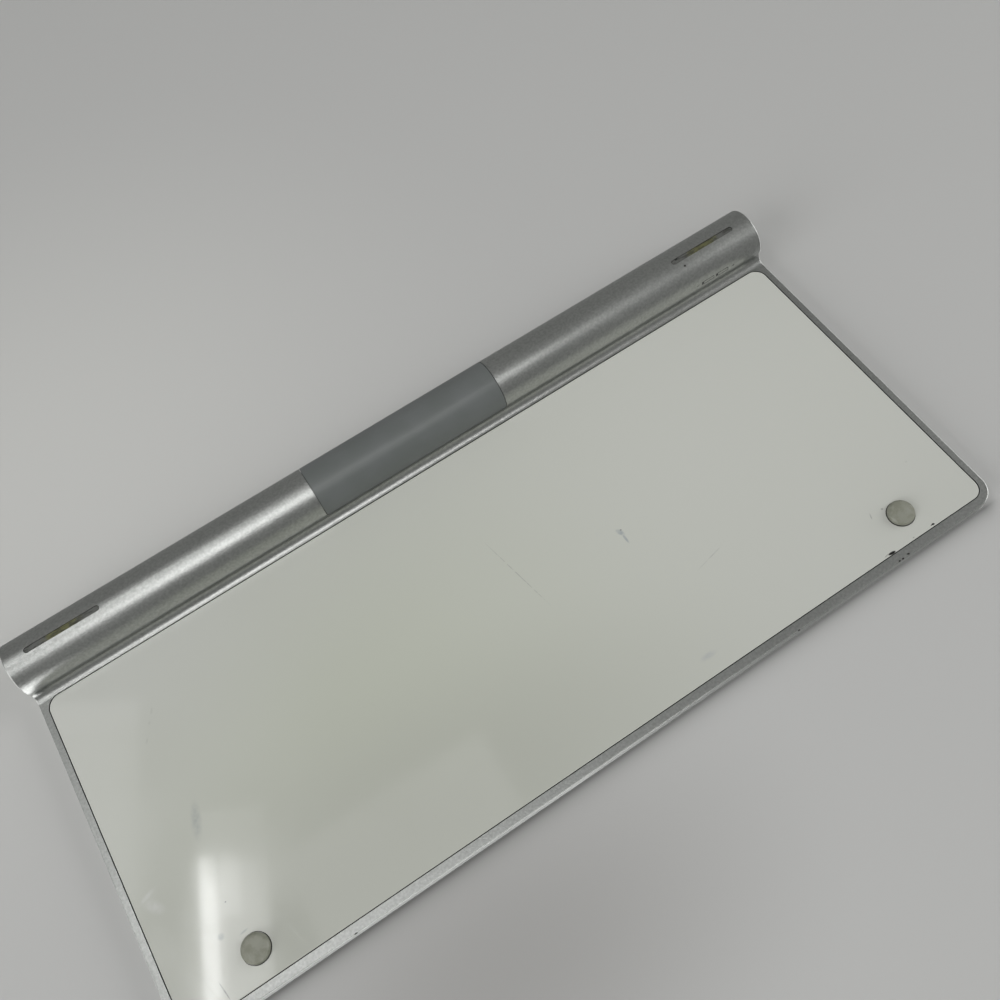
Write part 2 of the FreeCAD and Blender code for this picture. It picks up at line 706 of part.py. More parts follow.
def battery_cap():
    head_end = f"({CAP_FACE} + cap_head_thickness)"
    head = rod("cap_head", "(bore_radius - cap_clearance)", CAP_FACE, head_end)
    core = rod("cap_core", "cap_core_radius", CAP_FACE, CAP_INNER)
    ridges = [rod(f"cap_thread_{ridge + 1}", "(cap_core_radius + thread_ridge)",
                  f"({CAP_INNER} - {2 * ridge + 1} * thread_ridge)",
                  f"({CAP_INNER} - {2 * ridge} * thread_ridge)")
              for ridge in THREAD_RIDGES]
    turned_cap = fuse("cap_turned", [head, core, *ridges])
    coin_slot = box("cap_coin_slot", (f"{CAP_FACE} - 1", "-coin_slot_length / 2", "-coin_slot_width / 2"),
                    (f"{CAP_FACE} + coin_slot_depth", "coin_slot_length / 2", "coin_slot_width / 2"))
    return piece(cut("cap_with_slot", turned_cap, coin_slot), "battery_cap", tube_place())


def cap_seal_ring():
    ring = doc.addObject("Part::Torus", "seal_torus")
    ring.Placement = Placement(Vector(), Rotation(Vector(0, 1, 0), 90))
    ring.setExpression("Radius1", linked("cap_core_radius + seal_section / 2 + dome_play"))
    ring.setExpression("Radius2", linked("seal_section / 2"))
    ring.setExpression("Placement.Base.x",
                       linked(f"{CAP_FACE} + cap_head_thickness + seal_section / 2 + dome_play"))
    return piece(group("seal", [ring]), "cap_seal_ring", tube_place())


def cap_spring():
    """A leaf of spring strip on the cap's inner face, which presses on the cells."""
    body = new_body("cap_spring_leaf")
    sketch = new_sketch(body, "leaf_outline", "XY_Plane")
    run = (("dome_play", "-contact_radius"), ("dome_play", "-contact_radius + spring_rise / 2"),
           ("spring_rise", "-spring_rise"), ("spring_rise", "spring_rise"),
           ("dome_play", "contact_radius - spring_rise / 2"), ("dome_play", "contact_radius"))
    back = [(f"({CAP_INNER} + {x} + spring_strip_thickness)", y) for x, y in reversed(run)]
    outline(sketch, [(f"({CAP_INNER} + {x})", y) for x, y in run] + back)
    pad(body, sketch, "spring_strip_width", Midplane=True)
    return piece(body, "cap_spring", tube_place())


SLEEVE_END = f"({CARRIER_START} - carrier_end_gap)"
SLEEVE_BORE_END = f"({SLEEVE_END} - sleeve_end_wall)"
TAB_LOW = f"({BOARD_TOP} + layer_gap)"


def battery_sleeve():
    start = f"({CAP_INNER} + sleeve_clearance)"
    outside = rod("sleeve_outside", CARRIER_OUTER, start, SLEEVE_END)
    inside = rod("sleeve_inside", "(cell_radius + cell_sleeve_clearance)",
                 f"({start} - 1)", SLEEVE_BORE_END)
    slot_low = f"({TAB_LOW} - sleeve_clearance)"
    slot_high = f"({TAB_LOW} + contact_thickness + sleeve_clearance)"
    tab_slot = box("sleeve_tab_slot", (f"({SLEEVE_BORE_END} - 1)", "-contact_radius / 2", slot_low),
                   (f"({SLEEVE_END} + 1)", "contact_radius / 2", slot_high))
    bored = cut("sleeve_bored", outside, inside)
    return piece(cut("sleeve", bored, tab_slot), "battery_sleeve", tube_place())


def battery_cells():
    """Two cells nose to tail, their noses toward the electronics."""
    cells = []
    for number in (0, 1):
        start = f"({CELL_START} + {number} * cell_length)"
        shoulder = f"({start} + cell_length - cell_nub_length)"
        can = rod(f"cell_{number + 1}_can", "cell_radius", start, shoulder)
        nose = rod(f"cell_{number + 1}_nose", "cell_nub_radius", shoulder,
                   f"({start} + cell_length - dome_play / 2)")
        cells.append(fuse(f"cell_{number + 1}", [can, nose]))
    return piece(group("cells", cells), "battery_cells", tube_place())


def inner_contact():
    """The plate the inner cell's nose touches, with a tab onto the antenna board."""
    start = f"({CELLS_END} + dome_play)"
    end = f"({start} + contact_thickness)"
    disc = rod("contact_disc", "contact_radius", start, end)
    tab = box("contact_tab", (start, "-contact_radius / 3", TAB_LOW),
              (f"({ANTENNA_START} + 3)", "contact_radius / 3", f"({TAB_LOW} + contact_thickness)"))
    return piece(fuse("contact", [disc, tab]), "inner_contact", tube_place())


# Electronics in the tube

ANTENNA_START = f"({CARRIER_START} + 4 * carrier_end_gap)"


def board_carrier():
    """A half shell that hangs the boards in the tube by two inward flanges."""
    shell = cut("carrier_shell", rod("carrier_outside", CARRIER_OUTER, CARRIER_START, CARRIER_END),
                rod("carrier_inside", f"({CARRIER_OUTER} - carrier_wall)", f"({CARRIER_START} - 1)",
                    f"({CARRIER_END} + 1)"))
    upper = box("carrier_upper", (CARRIER_START, "-tube_radius", "0"),
                (CARRIER_END, "tube_radius", "tube_radius"))
    flanges = []
    outer = "(bore_radius - carrier_wall)"
    inner = "(bore_radius - carrier_wall - carrier_flange)"
    for side_name, low, high in (("front", f"-{outer}", f"-{inner}"), ("rear", inner, outer)):
        flanges.append(box(f"carrier_flange_{side_name}", (CARRIER_START, low, "0"),
                           (CARRIER_END, high, "carrier_wall")))
    whole = fuse("carrier_whole", [common("carrier_half", shell, upper), *flanges])
    flex_gap = box("carrier_flex_gap",
                   ("flex_position - flex_width / 2 - well_clearance",
                    "-flex_bend_inset - 2 * flex_slot_height", "carrier_wall + board_thickness"),
                   ("flex_position + flex_width / 2 + well_clearance",
                    "-flex_bend_inset + 2 * flex_slot_height", "tube_radius"))
    light_gap = doc.addObject("Part::Cylinder", "carrier_light_gap")
    light_gap.setExpression("Radius", linked("2 * light_radius"))
    light_gap.setExpression("Height", linked("tube_radius"))
    light_gap.setExpression("Placement.Base.x", linked("light_position"))
    light_gap.setExpression("Placement.Base.y", linked("-light_inset"))
    light_gap.setExpression("Placement.Base.z", linked("carrier_wall + board_thickness"))
    gaps = group("carrier_gaps", [flex_gap, light_gap])
    return piece(cut("carrier", whole, gaps), "board_carrier", tube_place())


def board_blocks(name, blocks):
    """Blocks on a board's face: each its left end, front side, length, width and height."""
    return [box(f"{name}_block_{number}", (x, y, BOARD_TOP),
                (f"{x} + {length}", f"{y} + {width}", f"{BOARD_TOP} + {height}"))
            for number, (x, y, length, width, height) in enumerate(blocks, start=1)]


def antenna_board():
    plate = box("antenna_board_plate", (ANTENNA_START, "-board_half_width", BOARD_BASE),
                ("antenna_board_end", "board_half_width", BOARD_TOP))
    blocks = board_blocks("antenna_board", (
        ("-6", "-2", "12", "4", "1.6"), ("12", "-3", "7", "6", "0.9"), ("22", "0", "2.5", "1.2", "0.6"),
        ("22", "-3", "2.5", "1.2", "0.6"), ("-16", "-1.5", "4", "3", "1.2")))
    return piece(fuse("antenna_board_whole", [plate, *blocks]), "antenna_board", tube_place())


BOARD_END = f"({SWITCH_FACE} - switch_depth - carrier_end_gap)"
FLEX_OUTER = "(-flex_bend_inset + flex_thickness / 2)"
FLEX_INNER = "(-flex_bend_inset - flex_thickness / 2)"
FLEX_END = f"({BOARD_TOP} + connector_height / 2)"


def controller_board():
    plate = box("controller_plate", ("controller_board_start", "-board_half_width", BOARD_BASE),
                (BOARD_END, "board_half_width", BOARD_TOP))
    blocks = board_blocks("controller", (
        ("44", "-4", "8", "8", "1"), ("56", "-3", "5", "5", "0.9"), ("84", "-2.5", "6", "5", "1.1"),
        ("96", "-4", "4", "2.5", "1.6"), ("96", "1", "4", "2.5", "1.6"), ("106", "-3", "7", "7", "1"),
        ("116", "1", "3.2", "1.6", "0.8"),
        ("light_position - 0.8", "-light_inset - 0.4", "1.6", "0.8", "0.35")))
    joiner = box("board_joiner", ("antenna_board_end - 2.5", "-4", f"{BOARD_TOP} + layer_gap"),
                 ("controller_board_start + 2.5", "4", f"{BOARD_TOP} + 0.9"))
    step = box("board_joiner_step", ("controller_board_start + 0.2", "-4", f"{BOARD_BASE} + 0.2"),
               ("controller_board_start + 2.5", "4", f"{BOARD_TOP} + 0.9"))
    socket = box("flex_socket",
                 ("flex_position - flex_width / 2 - 1", f"{FLEX_INNER} - 1", BOARD_TOP),
                 ("flex_position + flex_width / 2 + 1", f"{FLEX_OUTER} + 1",
                  f"{BOARD_TOP} + connector_height"))
    mouth = box("flex_socket_mouth",
                ("flex_position - flex_width / 2 - link_play", f"{FLEX_INNER} - layer_gap",
                 f"{FLEX_END} - layer_gap"),
                ("flex_position + flex_width / 2 + link_play", f"{FLEX_OUTER} + layer_gap",
                 f"{BOARD_TOP} + 2 * connector_height"))
    whole = fuse("controller_whole", [plate, *blocks, joiner, step, socket])
    return piece(cut("controller", whole, mouth), "controller_board", tube_place())


SHEET_REAR = f"({PANEL_MIDDLE} + {SHEET_LENGTH} / 2)"


def flex_cable():
    """The flat cable from the key sheet through its slot and down into the controller's socket."""
    body = new_body("flex_cable_body")
    sketch = new_sketch(body, "flex_outline", "YZ_Plane")
    low = f"({MEMBRANE_BASE} + layer_gap)"
    high = f"({low} + flex_thickness)"
    end = f"({FLEX_END} - {TUBE_DROP})"
    outline(sketch, ((f"({SHEET_REAR} + layer_gap)", low), (FLEX_INNER, low), (FLEX_INNER, end),
                     (FLEX_OUTER, end), (FLEX_OUTER, high), (f"({SHEET_REAR} + layer_gap)", high)))
    strip = pad(body, sketch, "flex_width", Midplane=True)
    inside = rounded(body, strip, lambda edge: lies_at(edge, y=size(FLEX_INNER), z=size(low)),
                     "flex_slot_height")
    rounded(body, inside, lambda edge: lies_at(edge, y=size(FLEX_OUTER), z=size(high)),
            "flex_slot_height + flex_thickness")
    return piece(body, "flex_cable", board_place(size("flex_position")))


def status_lens():
    lens = doc.addObject("Part::Cylinder", "light_pipe")
    lens.setExpression("Radius", linked("light_radius"))
    lens.setExpression("Height", linked(f"tube_radius - {BOARD_TOP} - 0.5"))
    lens.setExpression("Placement.Base.x", linked("light_position"))
    lens.setExpression("Placement.Base.y", linked("-light_inset"))
    lens.setExpression("Placement.Base.z", linked(f"{BOARD_TOP} + 0.5"))
    return piece(group("lens", [lens]), "status_lens", tube_place())


# Power button and its switch

RING_START = f"({HALF_WIDTH} - ring_length)"
HEAD_RADIUS = "(ring_bore_radius - button_clearance)"


def button_ring():
    outside = rod("ring_outside", "(bore_radius - cap_clearance)", RING_START, HALF_WIDTH)
    bore = rod("ring_bore", "ring_bore_radius", f"({RING_START} - 1)", f"({HALF_WIDTH} + 1)")
    wide = rod("ring_wide_bore", f"({HEAD_RADIUS} + button_flange_reach + well_clearance)",
               f"({RING_START} - 1)", f"({HALF_WIDTH} - ring_shoulder)")
    return piece(cut("ring", cut("ring_bored", outside, bore), wide), "button_ring", tube_place())


def power_button():
    head = rod("button_head", HEAD_RADIUS, HEAD_START, f"({HALF_WIDTH} - button_recess)")
    flange = rod("button_flange", f"({HEAD_RADIUS} + button_flange_reach)",
                 f"({HEAD_START} - button_flange_thickness)", HEAD_START)
    stem = rod("button_stem", "button_stem_radius", STEM_END, HEAD_START)
    return piece(fuse("button", [head, flange, stem]), "power_button", tube_place())


def power_switch():
    back = f"({SWITCH_FACE} - switch_depth)"
    block = box("switch_block", (back, "-switch_side / 2", "-switch_side / 2"),
                (SWITCH_FACE, "switch_side / 2", "switch_side / 2"))
    plunger = rod("switch_plunger", "switch_plunger_radius", SWITCH_FACE,
                  f"({SWITCH_FACE} + switch_plunger_length)")
    legs = [box(f"switch_leg_{number}", (f"{back} - 2", f"{y} - 0.4", f"{BOARD_TOP} + layer_gap"),
                (f"{back} + 0.1", f"{y} + 0.4", f"{BOARD_TOP} + contact_thickness"))
            for number, y in enumerate(("-switch_side / 3", "switch_side / 3"), start=1)]
    return piece(fuse("switch", [block, plunger, *legs]), "power_switch", tube_place())


# Key plate, membrane and screws

PLATE_LOW = f"({SEAT_DEPTH} + layer_gap)"


def screw_places():
    across, first, pitch = size("screw_spacing"), size(FIRST_WEB), size("key_pitch")
    return [Placement(Vector(across * column, first + pitch * web, 0), Rotation())
            for web in range(len(KEY_ROWS)) for column in SCREW_COLUMNS]


def key_sheet(name, low, thickness, hole):
    body = new_body(name)
    sketch = new_sketch(body, f"{name}_outline", "XY_Plane", low)
    rounded_rectangle(sketch, SHEET_WIDTH, SHEET_LENGTH, CAVITY_CORNER, "0", PANEL_MIDDLE)
    pad(body, sketch, thickness)
    if hole is not None:
        screw_holes(body, f"{name}_holes", hole, "plate_thickness")
    return body


def key_base_plate():
    """The steel sheet under the keys, dished where the screw heads pull it against the webs."""
    cone = doc.addObject("Part::Cone", "plate_dish")
    cone.setExpression("Radius1", linked("screw_head_radius + screw_clearance"))
    cone.setExpression("Radius2", linked("screw_shank_radius + screw_clearance"))
    cone.setExpression("Height", linked("base_plate_thickness"))
    cone.setExpression("Placement.Base.z", linked(PLATE_LOW))
    doc.recompute()
    dishes = copies("plate_dishes", cone, screw_places())
    body = key_sheet("base_sheet", PLATE_LOW, "base_plate_thickness", None)
    return piece(cut("base_plate", body, dishes), "key_base_plate", board_place())


def key_membrane():
    body = key_sheet("membrane_sheet", MEMBRANE_BASE, "membrane_thickness",
                     "(screw_shank_radius + 4 * screw_clearance)")
    return piece(body, "key_membrane", board_place())


def plate_screws():
    head = doc.addObject("Part::Cone", "screw_head")
    head.setExpression("Radius1", linked("screw_head_radius"))
    head.setExpression("Radius2", linked("screw_shank_radius"))
    head.setExpression("Height", linked("base_plate_thickness"))
    head.setExpression("Placement.Base.z", linked(PLATE_LOW))
    shank = doc.addObject("Part::Cylinder", "screw_shank")
    shank.setExpression("Radius", linked("screw_shank_radius"))
    shank.setExpression("Height", linked(f"{MEMBRANE_BASE} + screw_length - {PLATE_LOW}"))
    shank.setExpression("Placement.Base.z", linked(PLATE_LOW))
    screw = fuse("screw", [head, shank])
    doc.recompute()
    return piece(copies("screws", screw, screw_places()), "plate_screws", board_place())


# Domes, links and bars under the keys

def full_and_half_places():
    """Where the masters for full keys and for half-height keys are copied to."""
    full, half = [], []
    for name, x, y, width, depth in key_places():
        place = Placement(Vector(size(x), size(y), 0), Rotation())
        if depth == KEY_DEPTH:
            full.append(place)
        else:
            half.append(place)
    return full, half


DOME_BASE = f"({MEMBRANE_TOP} + layer_gap)"
DOME_TOP = f"({CAP_CEILING} - dome_play)"


def dome(name, radius, top_radius):
    """A hollow rubber dome with a flat rim and a plunger in its crown."""
    body = new_body(name)
    sketch = new_sketch(body, f"{name}_outline", "XZ_Plane")
    rim = f"({radius} - 1.6 * dome_wall)"
    inner = f"({top_radius} - dome_wall)"
    neck = f"({DOME_TOP} - 2 * dome_wall)"
    outline(sketch, ((f"({rim} - 1.2 * dome_wall)", DOME_BASE), (radius, DOME_BASE),
                     (radius, f"({DOME_BASE} + dome_wall)"), (rim, f"({DOME_BASE} + dome_wall)"),
                     (top_radius, neck), (top_radius, DOME_TOP), ("0", DOME_TOP),
                     ("0", f"({DOME_TOP} - 3 * dome_wall)"), (inner, f"({DOME_TOP} - 3 * dome_wall)")))
    turned(body, sketch, "V_Axis")
    return body


def rubber_domes():
    full_master = dome("dome", "dome_radius", "dome_top_radius")
    half_master = dome("half_dome", "half_dome_radius", "half_dome_top_radius")
    doc.recompute()
    full, half = full_and_half_places()
    domes = group("domes", [copies("full_domes", full_master, full),
                            copies("half_domes", half_master, half)])
    return piece(domes, "rubber_domes", board_place())


def link(name, width, arm, front_high):
    """A sloping frame, half of one key's scissors."""
    body = new_body(name)
    side = new_sketch(body, f"{name}_side", "YZ_Plane")
    low = f"({MEMBRANE_TOP} + link_play)"
    high = f"({CAP_CEILING} - link_play - link_thickness)"
    front, rear = (high, low) if front_high else (low, high)
    outline(side, (("-link_reach", front), ("link_reach", rear),
                   ("link_reach", f"({rear} + link_thickness)"),
                   ("-link_reach", f"({front} + link_thickness)")))
    pad(body, side, width, Midplane=True)
    gap = new_sketch(body, f"{name}_gap", "XY_Plane")
    half_gap = f"({width} / 2 - {arm})"
    outline(gap, rectangle(f"-{half_gap}", "-link_reach + link_end_bar",
                           half_gap, "link_reach - link_end_bar"))
    pocket(body, gap, Reversed=True)
    return body


def scissor_links(name, full_size, half_size, front_high):
    full_master = link(f"{name}_full", *full_size, front_high)
    half_master = link(f"{name}_half", *half_size, front_high)
    doc.recompute()
    full, half = full_and_half_places()
    quarter_turn = Placement(Vector(), Rotation(Vector(0, 0, 1), 90))
    turned_half = [place.multiply(quarter_turn) for place in half]
    links = group(name, [copies(f"{name}_full_copies", full_master, full),
                         copies(f"{name}_half_copies", half_master, turned_half)])
    return piece(links, f"{name}_links", board_place())


def stabiliser_bar(name, x, y, width):
    """A bent wire that keeps a wide key level: one long bar, two legs and two feet."""
    reach = f"({width} / 2 - bar_end_inset)"
    bar_y = size(f"{y} - {KEY_DEPTH} / 2 + cap_wall + 2 * bar_wire_radius")
    bar_z = size(f"{CAP_CEILING} - dome_play - bar_wire_radius - link_play")
    foot_y = size(f"{y} + link_reach / 2")
    foot_z = size(f"{MEMBRANE_TOP} + link_play + bar_wire_radius")
    half, foot, middle = size(reach), size("bar_foot_length"), size(x)
    runs = [(Vector(middle - half, bar_y, bar_z), Vector(middle + half, bar_y, bar_z))]
    for sign in (-1, 1):
        top = Vector(middle + sign * half, bar_y, bar_z)
        heel = Vector(middle + sign * half, foot_y, foot_z)
        runs.append((top, heel))
        runs.append((heel, heel + Vector(sign * foot, 0, 0)))
    wires = []
    for number, (start, end) in enumerate(runs, start=1):
        wire = doc.addObject("Part::Cylinder", f"{name}_wire_{number}")
        wire.setExpression("Radius", linked("bar_wire_radius"))
        wire.Height = (end - start).Length
        wire.Placement = Placement(start, Rotation(Vector(0, 0, 1), end - start))
        wires.append(wire)
        bend = doc.addObject("Part::Sphere", f"{name}_bend_{number}")
        bend.setExpression("Radius", linked("bar_wire_radius"))
        bend.Placement = Placement(start if number > 1 else end, Rotation())
        wires.append(bend)
    return fuse(f"{name}_bar", wires)


def stabiliser_bars():
    bars = [stabiliser_bar(name, x, y, width)
            for name, x, y, width, depth in key_places() if name in BARRED_KEYS]
    return piece(group("bars", bars), "stabiliser_bars", board_place())


# Key caps

KEY_GROUPS = {
    "number_row_keys": ("grave", *(f"digit_{name}" for name in "1234567890"),
                        "minus", "equal", "backspace"),
    "function_row_keys": FUNCTION_KEYS,
    "punctuation_keys": ("tab", "bracket_left", "bracket_right", "backslash", "caps", "semicolon", "quote",
                         "comma", "period", "slash"),
    "modifier_keys": ("fn", "control", "alt_left", "meta_left", "meta_right", "alt_right",
                      "arrow_left", "arrow_up", "arrow_down", "arrow_right"),
}


def key_cap(name, width, depth):
    """A hollow cap with rounded corners, open below."""
    body = new_body(f"cap_{name}")
    base = new_sketch(body, f"cap_{name}_outline", "XY_Plane")
    rounded_rectangle(base, width, depth, "cap_corner")
    block = pad(body, base, "cap_height")
    rounded(body, block, lambda edge: lies_at(edge, z=size("cap_height")), "cap_edge_round")
    hollow = new_sketch(body, f"cap_{name}_hollow", "XY_Plane")
    outline(hollow, rectangle(f"(cap_wall - {width} / 2)", f"(cap_wall - {depth} / 2)",
                              f"({width} / 2 - cap_wall)", f"({depth} / 2 - cap_wall)"))
    pocket(body, hollow, "(cap_height - cap_top)", Reversed=True)
    return body


def key_caps():
    caps = {}
    for name, x, y, width, depth in key_places():
        cap = key_cap(name, width, depth)
        caps[name] = (cap, Vector(size(x), size(y), size(CAP_BASE)))
    for node, names in KEY_GROUPS.items():
        for name in names:
            cap, middle = caps.pop(name)
            cap.Placement = Placement(middle, Rotation())
            caps.setdefault(node, []).append(cap)
        piece(group(f"{node}_group", caps.pop(node)), node, board_place())
    for name, (cap, middle) in caps.items():
        piece(cap, f"key_{name}", board_place(*middle))


top_case()
bottom_panel()
front_feet()
rear_foot_strips()
antenna_window()
battery_cap()
cap_seal_ring()
cap_spring()
battery_sleeve()
battery_cells()
inner_contact()
board_carrier()
antenna_board()
controller_board()
flex_cable()
status_lens()
button_ring()
power_button()
power_switch()
key_base_plate()
key_membrane()
plate_screws()
rubber_domes()
scissor_links("outer_scissor", ("outer_link_width", "outer_link_arm"),
              ("half_outer_width", "half_outer_arm"), False)
scissor_links("inner_scissor", ("inner_link_width", "inner_link_arm"),
              ("half_inner_width", "half_inner_arm"), True)
stabiliser_bars()
key_caps()
doc.recompute()

for item in doc.Objects:
    if "Invalid" in item.State or "Error" in item.State:
        raise RuntimeError(f"{item.Label} did not build: {item.State}")
for item in pieces:
    if not item.Shape.isValid() or item.Shape.Volume <= 0:
        raise RuntimeError(f"{item.Label} is not a sound solid")
    item.Shape.exportStep(f"parts/{item.Label}.step")
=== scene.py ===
import json
import math
from collections import defaultdict

import bmesh
import bpy
from mathutils import Matrix, Vector


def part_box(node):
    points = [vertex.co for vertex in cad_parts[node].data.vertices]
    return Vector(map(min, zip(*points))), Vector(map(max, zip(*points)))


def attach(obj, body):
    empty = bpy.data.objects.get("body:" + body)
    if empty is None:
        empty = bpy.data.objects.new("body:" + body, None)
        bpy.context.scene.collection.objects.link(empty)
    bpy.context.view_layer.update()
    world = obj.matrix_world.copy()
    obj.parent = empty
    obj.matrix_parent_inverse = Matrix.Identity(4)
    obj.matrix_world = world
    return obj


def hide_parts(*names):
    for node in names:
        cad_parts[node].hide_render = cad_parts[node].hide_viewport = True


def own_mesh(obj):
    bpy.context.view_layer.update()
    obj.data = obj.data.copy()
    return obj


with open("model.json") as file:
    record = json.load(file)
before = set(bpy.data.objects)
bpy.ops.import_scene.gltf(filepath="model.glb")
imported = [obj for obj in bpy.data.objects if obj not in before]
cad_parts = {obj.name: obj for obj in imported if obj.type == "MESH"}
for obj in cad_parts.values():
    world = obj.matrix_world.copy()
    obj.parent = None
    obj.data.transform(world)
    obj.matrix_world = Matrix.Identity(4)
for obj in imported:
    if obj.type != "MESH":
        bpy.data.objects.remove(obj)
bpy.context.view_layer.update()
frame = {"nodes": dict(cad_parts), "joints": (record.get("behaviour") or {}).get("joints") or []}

# The flat board: millimetres, X to the typist's right, Y to the rear, Z out of the keys, with
# Y = 0 at the tube's axis and Z = 0 at the underside rim. BOARD puts it where the CAD stands.
MM = 0.001
TUBE_RADIUS = 9.2
PLATE_THICKNESS = 4.1
TUBE_DROP = TUBE_RADIUS - PLATE_THICKNESS
CASE_WIDTH = 281.9
CASE_END = CASE_WIDTH / 2
PANEL_REAR = -11.35
PANEL_DEPTH = 109.35
PANEL_FRONT = PANEL_REAR - PANEL_DEPTH
PANEL_SIDE = 138.75
SEAT_GAP = 0.2
FRONT_RIM = 2.7
CASE_FRONT = PANEL_FRONT - FRONT_RIM
BOARD_MIDDLE = (0, -60, 0)

# The seams in the tube: how far they reach to each side, and their walls' distances from its axis
SEAM_END = 135.0
SEAM_INNER = 8.2
SEAM_OUTER = 9.05

press = next(joint for joint in frame["joints"] if joint["name"] == "press_key_a")
LEAN = math.atan2(press["axis"][1], -press["axis"][2])
ring_low, ring_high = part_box("button_ring")
tube_middle = (Vector(ring_low) + Vector(ring_high)) / 2
BOARD = (
    Matrix.Translation((0, tube_middle.y, tube_middle.z))
    @ Matrix.Rotation(LEAN, 4, "X")
    @ Matrix.Translation((0, 0, TUBE_DROP * MM))
    @ Matrix.Scale(MM, 4)
)


# Materials

METAL = (0.47, 0.48, 0.465)
PANEL_WHITE = (0.52, 0.53, 0.50)
KEY_WHITE = (0.66, 0.665, 0.66)
INK = (0.16, 0.165, 0.17)
TABLE_GREY = (0.57, 0.57, 0.56)
DESK_WHITE = (0.66, 0.665, 0.66)
ROOM_WHITE = (0.56, 0.565, 0.56)
# Painted shade: the black down in gaps and seams, also used for the panel's chips
GAP_SHADE_BLACK = (0.012, 0.012, 0.012)


class Finish:
    """One material, whose patterns are laid out in the flat board's millimetres."""

    def __init__(self, name, colour, metallic=0.0, roughness=0.5, **sockets):
        self.material = bpy.data.materials.new(name)
        self.material.use_nodes = True
        self.tree = self.material.node_tree
        self.shader = self.tree.nodes["Principled BSDF"]
        self.set("Base Color", colour)
        self.set("Metallic", metallic)
        self.set("Roughness", roughness)
        for socket, value in sockets.items():
            self.set(socket.replace("_", " "), value)
        self.board = self.flat_board()

    def set(self, socket, value):
        """Gives the shader a number, a colour or another node's output."""
        self.plug(self.shader.inputs[socket], value)

    def plug(self, socket, value):
        """Sets a socket to a number or a colour, or links it to another node's output."""
        if isinstance(value, bpy.types.NodeSocket):
            self.tree.links.new(value, socket)
        elif isinstance(value, tuple) and len(value) == 3 and socket.type == "RGBA":
            socket.default_value = (*value, 1.0)
        else:
            socket.default_value = value

    def node(self, kind, inputs=(), output=0, **settings):
        """Adds a node, fills its sockets in their order, and gives one of its outputs."""
        node = self.tree.nodes.new(f"ShaderNode{kind}")
        for name, value in settings.items():
            setattr(node, name, value)
        for index, value in enumerate(inputs):
            if value is not None:
                self.plug(node.inputs[index], value)
        return node.outputs[output]

    def flat_board(self):
        """Object coordinates turned back into the flat board, in millimetres."""
        place = self.node("TexCoord", output="Object")
        start = BOARD.inverted().to_translation()
        return self.mapped(place, location=start, turn=(-LEAN, 0, 0), scale=(1 / MM, 1 / MM, 1 / MM))

    def mapped(self, vector, kind="POINT", location=(0, 0, 0), turn=(0, 0, 0), scale=(1, 1, 1)):
        """Scales, turns and moves a vector, or undoes that where the kind is TEXTURE."""
        mapping = self.tree.nodes.new("ShaderNodeMapping")
        mapping.vector_type = kind
        mapping.inputs["Location"].default_value = location
        mapping.inputs["Rotation"].default_value = turn
        mapping.inputs["Scale"].default_value = scale
        self.tree.links.new(vector, mapping.inputs["Vector"])
        return mapping.outputs[0]

    def stretched(self, x, y, z, turn=0.0):
        """The board's coordinates divided by a length along each axis, after a turn about Z."""
        return self.mapped(self.board, "TEXTURE", turn=(0, 0, math.radians(turn)), scale=(x, y, z))

    def noise(self, size, detail=2.0, roughness=0.5, vector=None, distortion=0.0):
        """Noise whose features are about so many millimetres across."""
        node = self.tree.nodes.new("ShaderNodeTexNoise")
        self.tree.links.new(vector or self.board, node.inputs["Vector"])
        node.inputs["Scale"].default_value = 1 / size
        node.inputs["Detail"].default_value = detail
        node.inputs["Roughness"].default_value = roughness
        node.inputs["Distortion"].default_value = distortion
        return node.outputs["Fac"]

    def cells(self, size, feature="F1"):
        """Distances in a pattern of cells that are about so many millimetres across."""
        node = self.tree.nodes.new("ShaderNodeTexVoronoi")
        node.feature = feature
        self.tree.links.new(self.board, node.inputs["Vector"])
        node.inputs["Scale"].default_value = 1 / size
        return node.outputs["Distance"]

    def spread(self, value, low, high, to_low=0.0, to_high=1.0, smooth=True):
        """Maps a value from one range to another and holds it there."""
        kind = "SMOOTHSTEP" if smooth else "LINEAR"
        limits = (value, low, high, to_low, to_high)
        return self.node("MapRange", limits, interpolation_type=kind, clamp=True)

    def calculate(self, operation, first, second=None):
        """One step of arithmetic on one or two values."""
        return self.node("Math", (first, second), operation=operation)

    def blend(self, factor, first, second, kind="MIX"):
        """Mixes two colours, with none of the second at 0 and all of it at 1."""
        mix = self.tree.nodes.new("ShaderNodeMix")
        mix.data_type = "RGBA"
        mix.blend_type = kind
        self.plug(mix.inputs["Factor"], factor)
        self.plug(mix.inputs["A"], first)
        self.plug(mix.inputs["B"], second)
        return mix.outputs["Result"]

    def bumps(self, height, depth, strength=1.0):
        """Raises the surface by a height map whose full range is so many millimetres."""
        bump = self.tree.nodes.new("ShaderNodeBump")
        bump.inputs["Strength"].default_value = strength
        bump.inputs["Distance"].default_value = depth * MM
        self.tree.links.new(height, bump.inputs["Height"])
        before = self.shader.inputs["Normal"].links
        if before:
            self.tree.links.new(before[0].from_socket, bump.inputs["Normal"])
        self.tree.links.new(bump.outputs["Normal"], self.shader.inputs["Normal"])

    def axis(self, name):
        """One of the board's own coordinates, in millimetres."""
        return self.node("SeparateXYZ", (self.board,), output="XYZ".index(name))

    def within(self, value, low, high, soft=0.05):
        """1 where a value lies between two limits, and 0 outside them."""
        above = self.spread(value, low - soft, low + soft)
        below = self.spread(value, high - soft, high + soft, 1.0, 0.0)
        return self.calculate("MULTIPLY", above, below)

    def from_tube_axis(self):
        """The distance from the tube's axis, in millimetres."""
        return self.length_of(self.mapped(self.board, location=(0, 0, TUBE_DROP), scale=(0, 1, 1)))

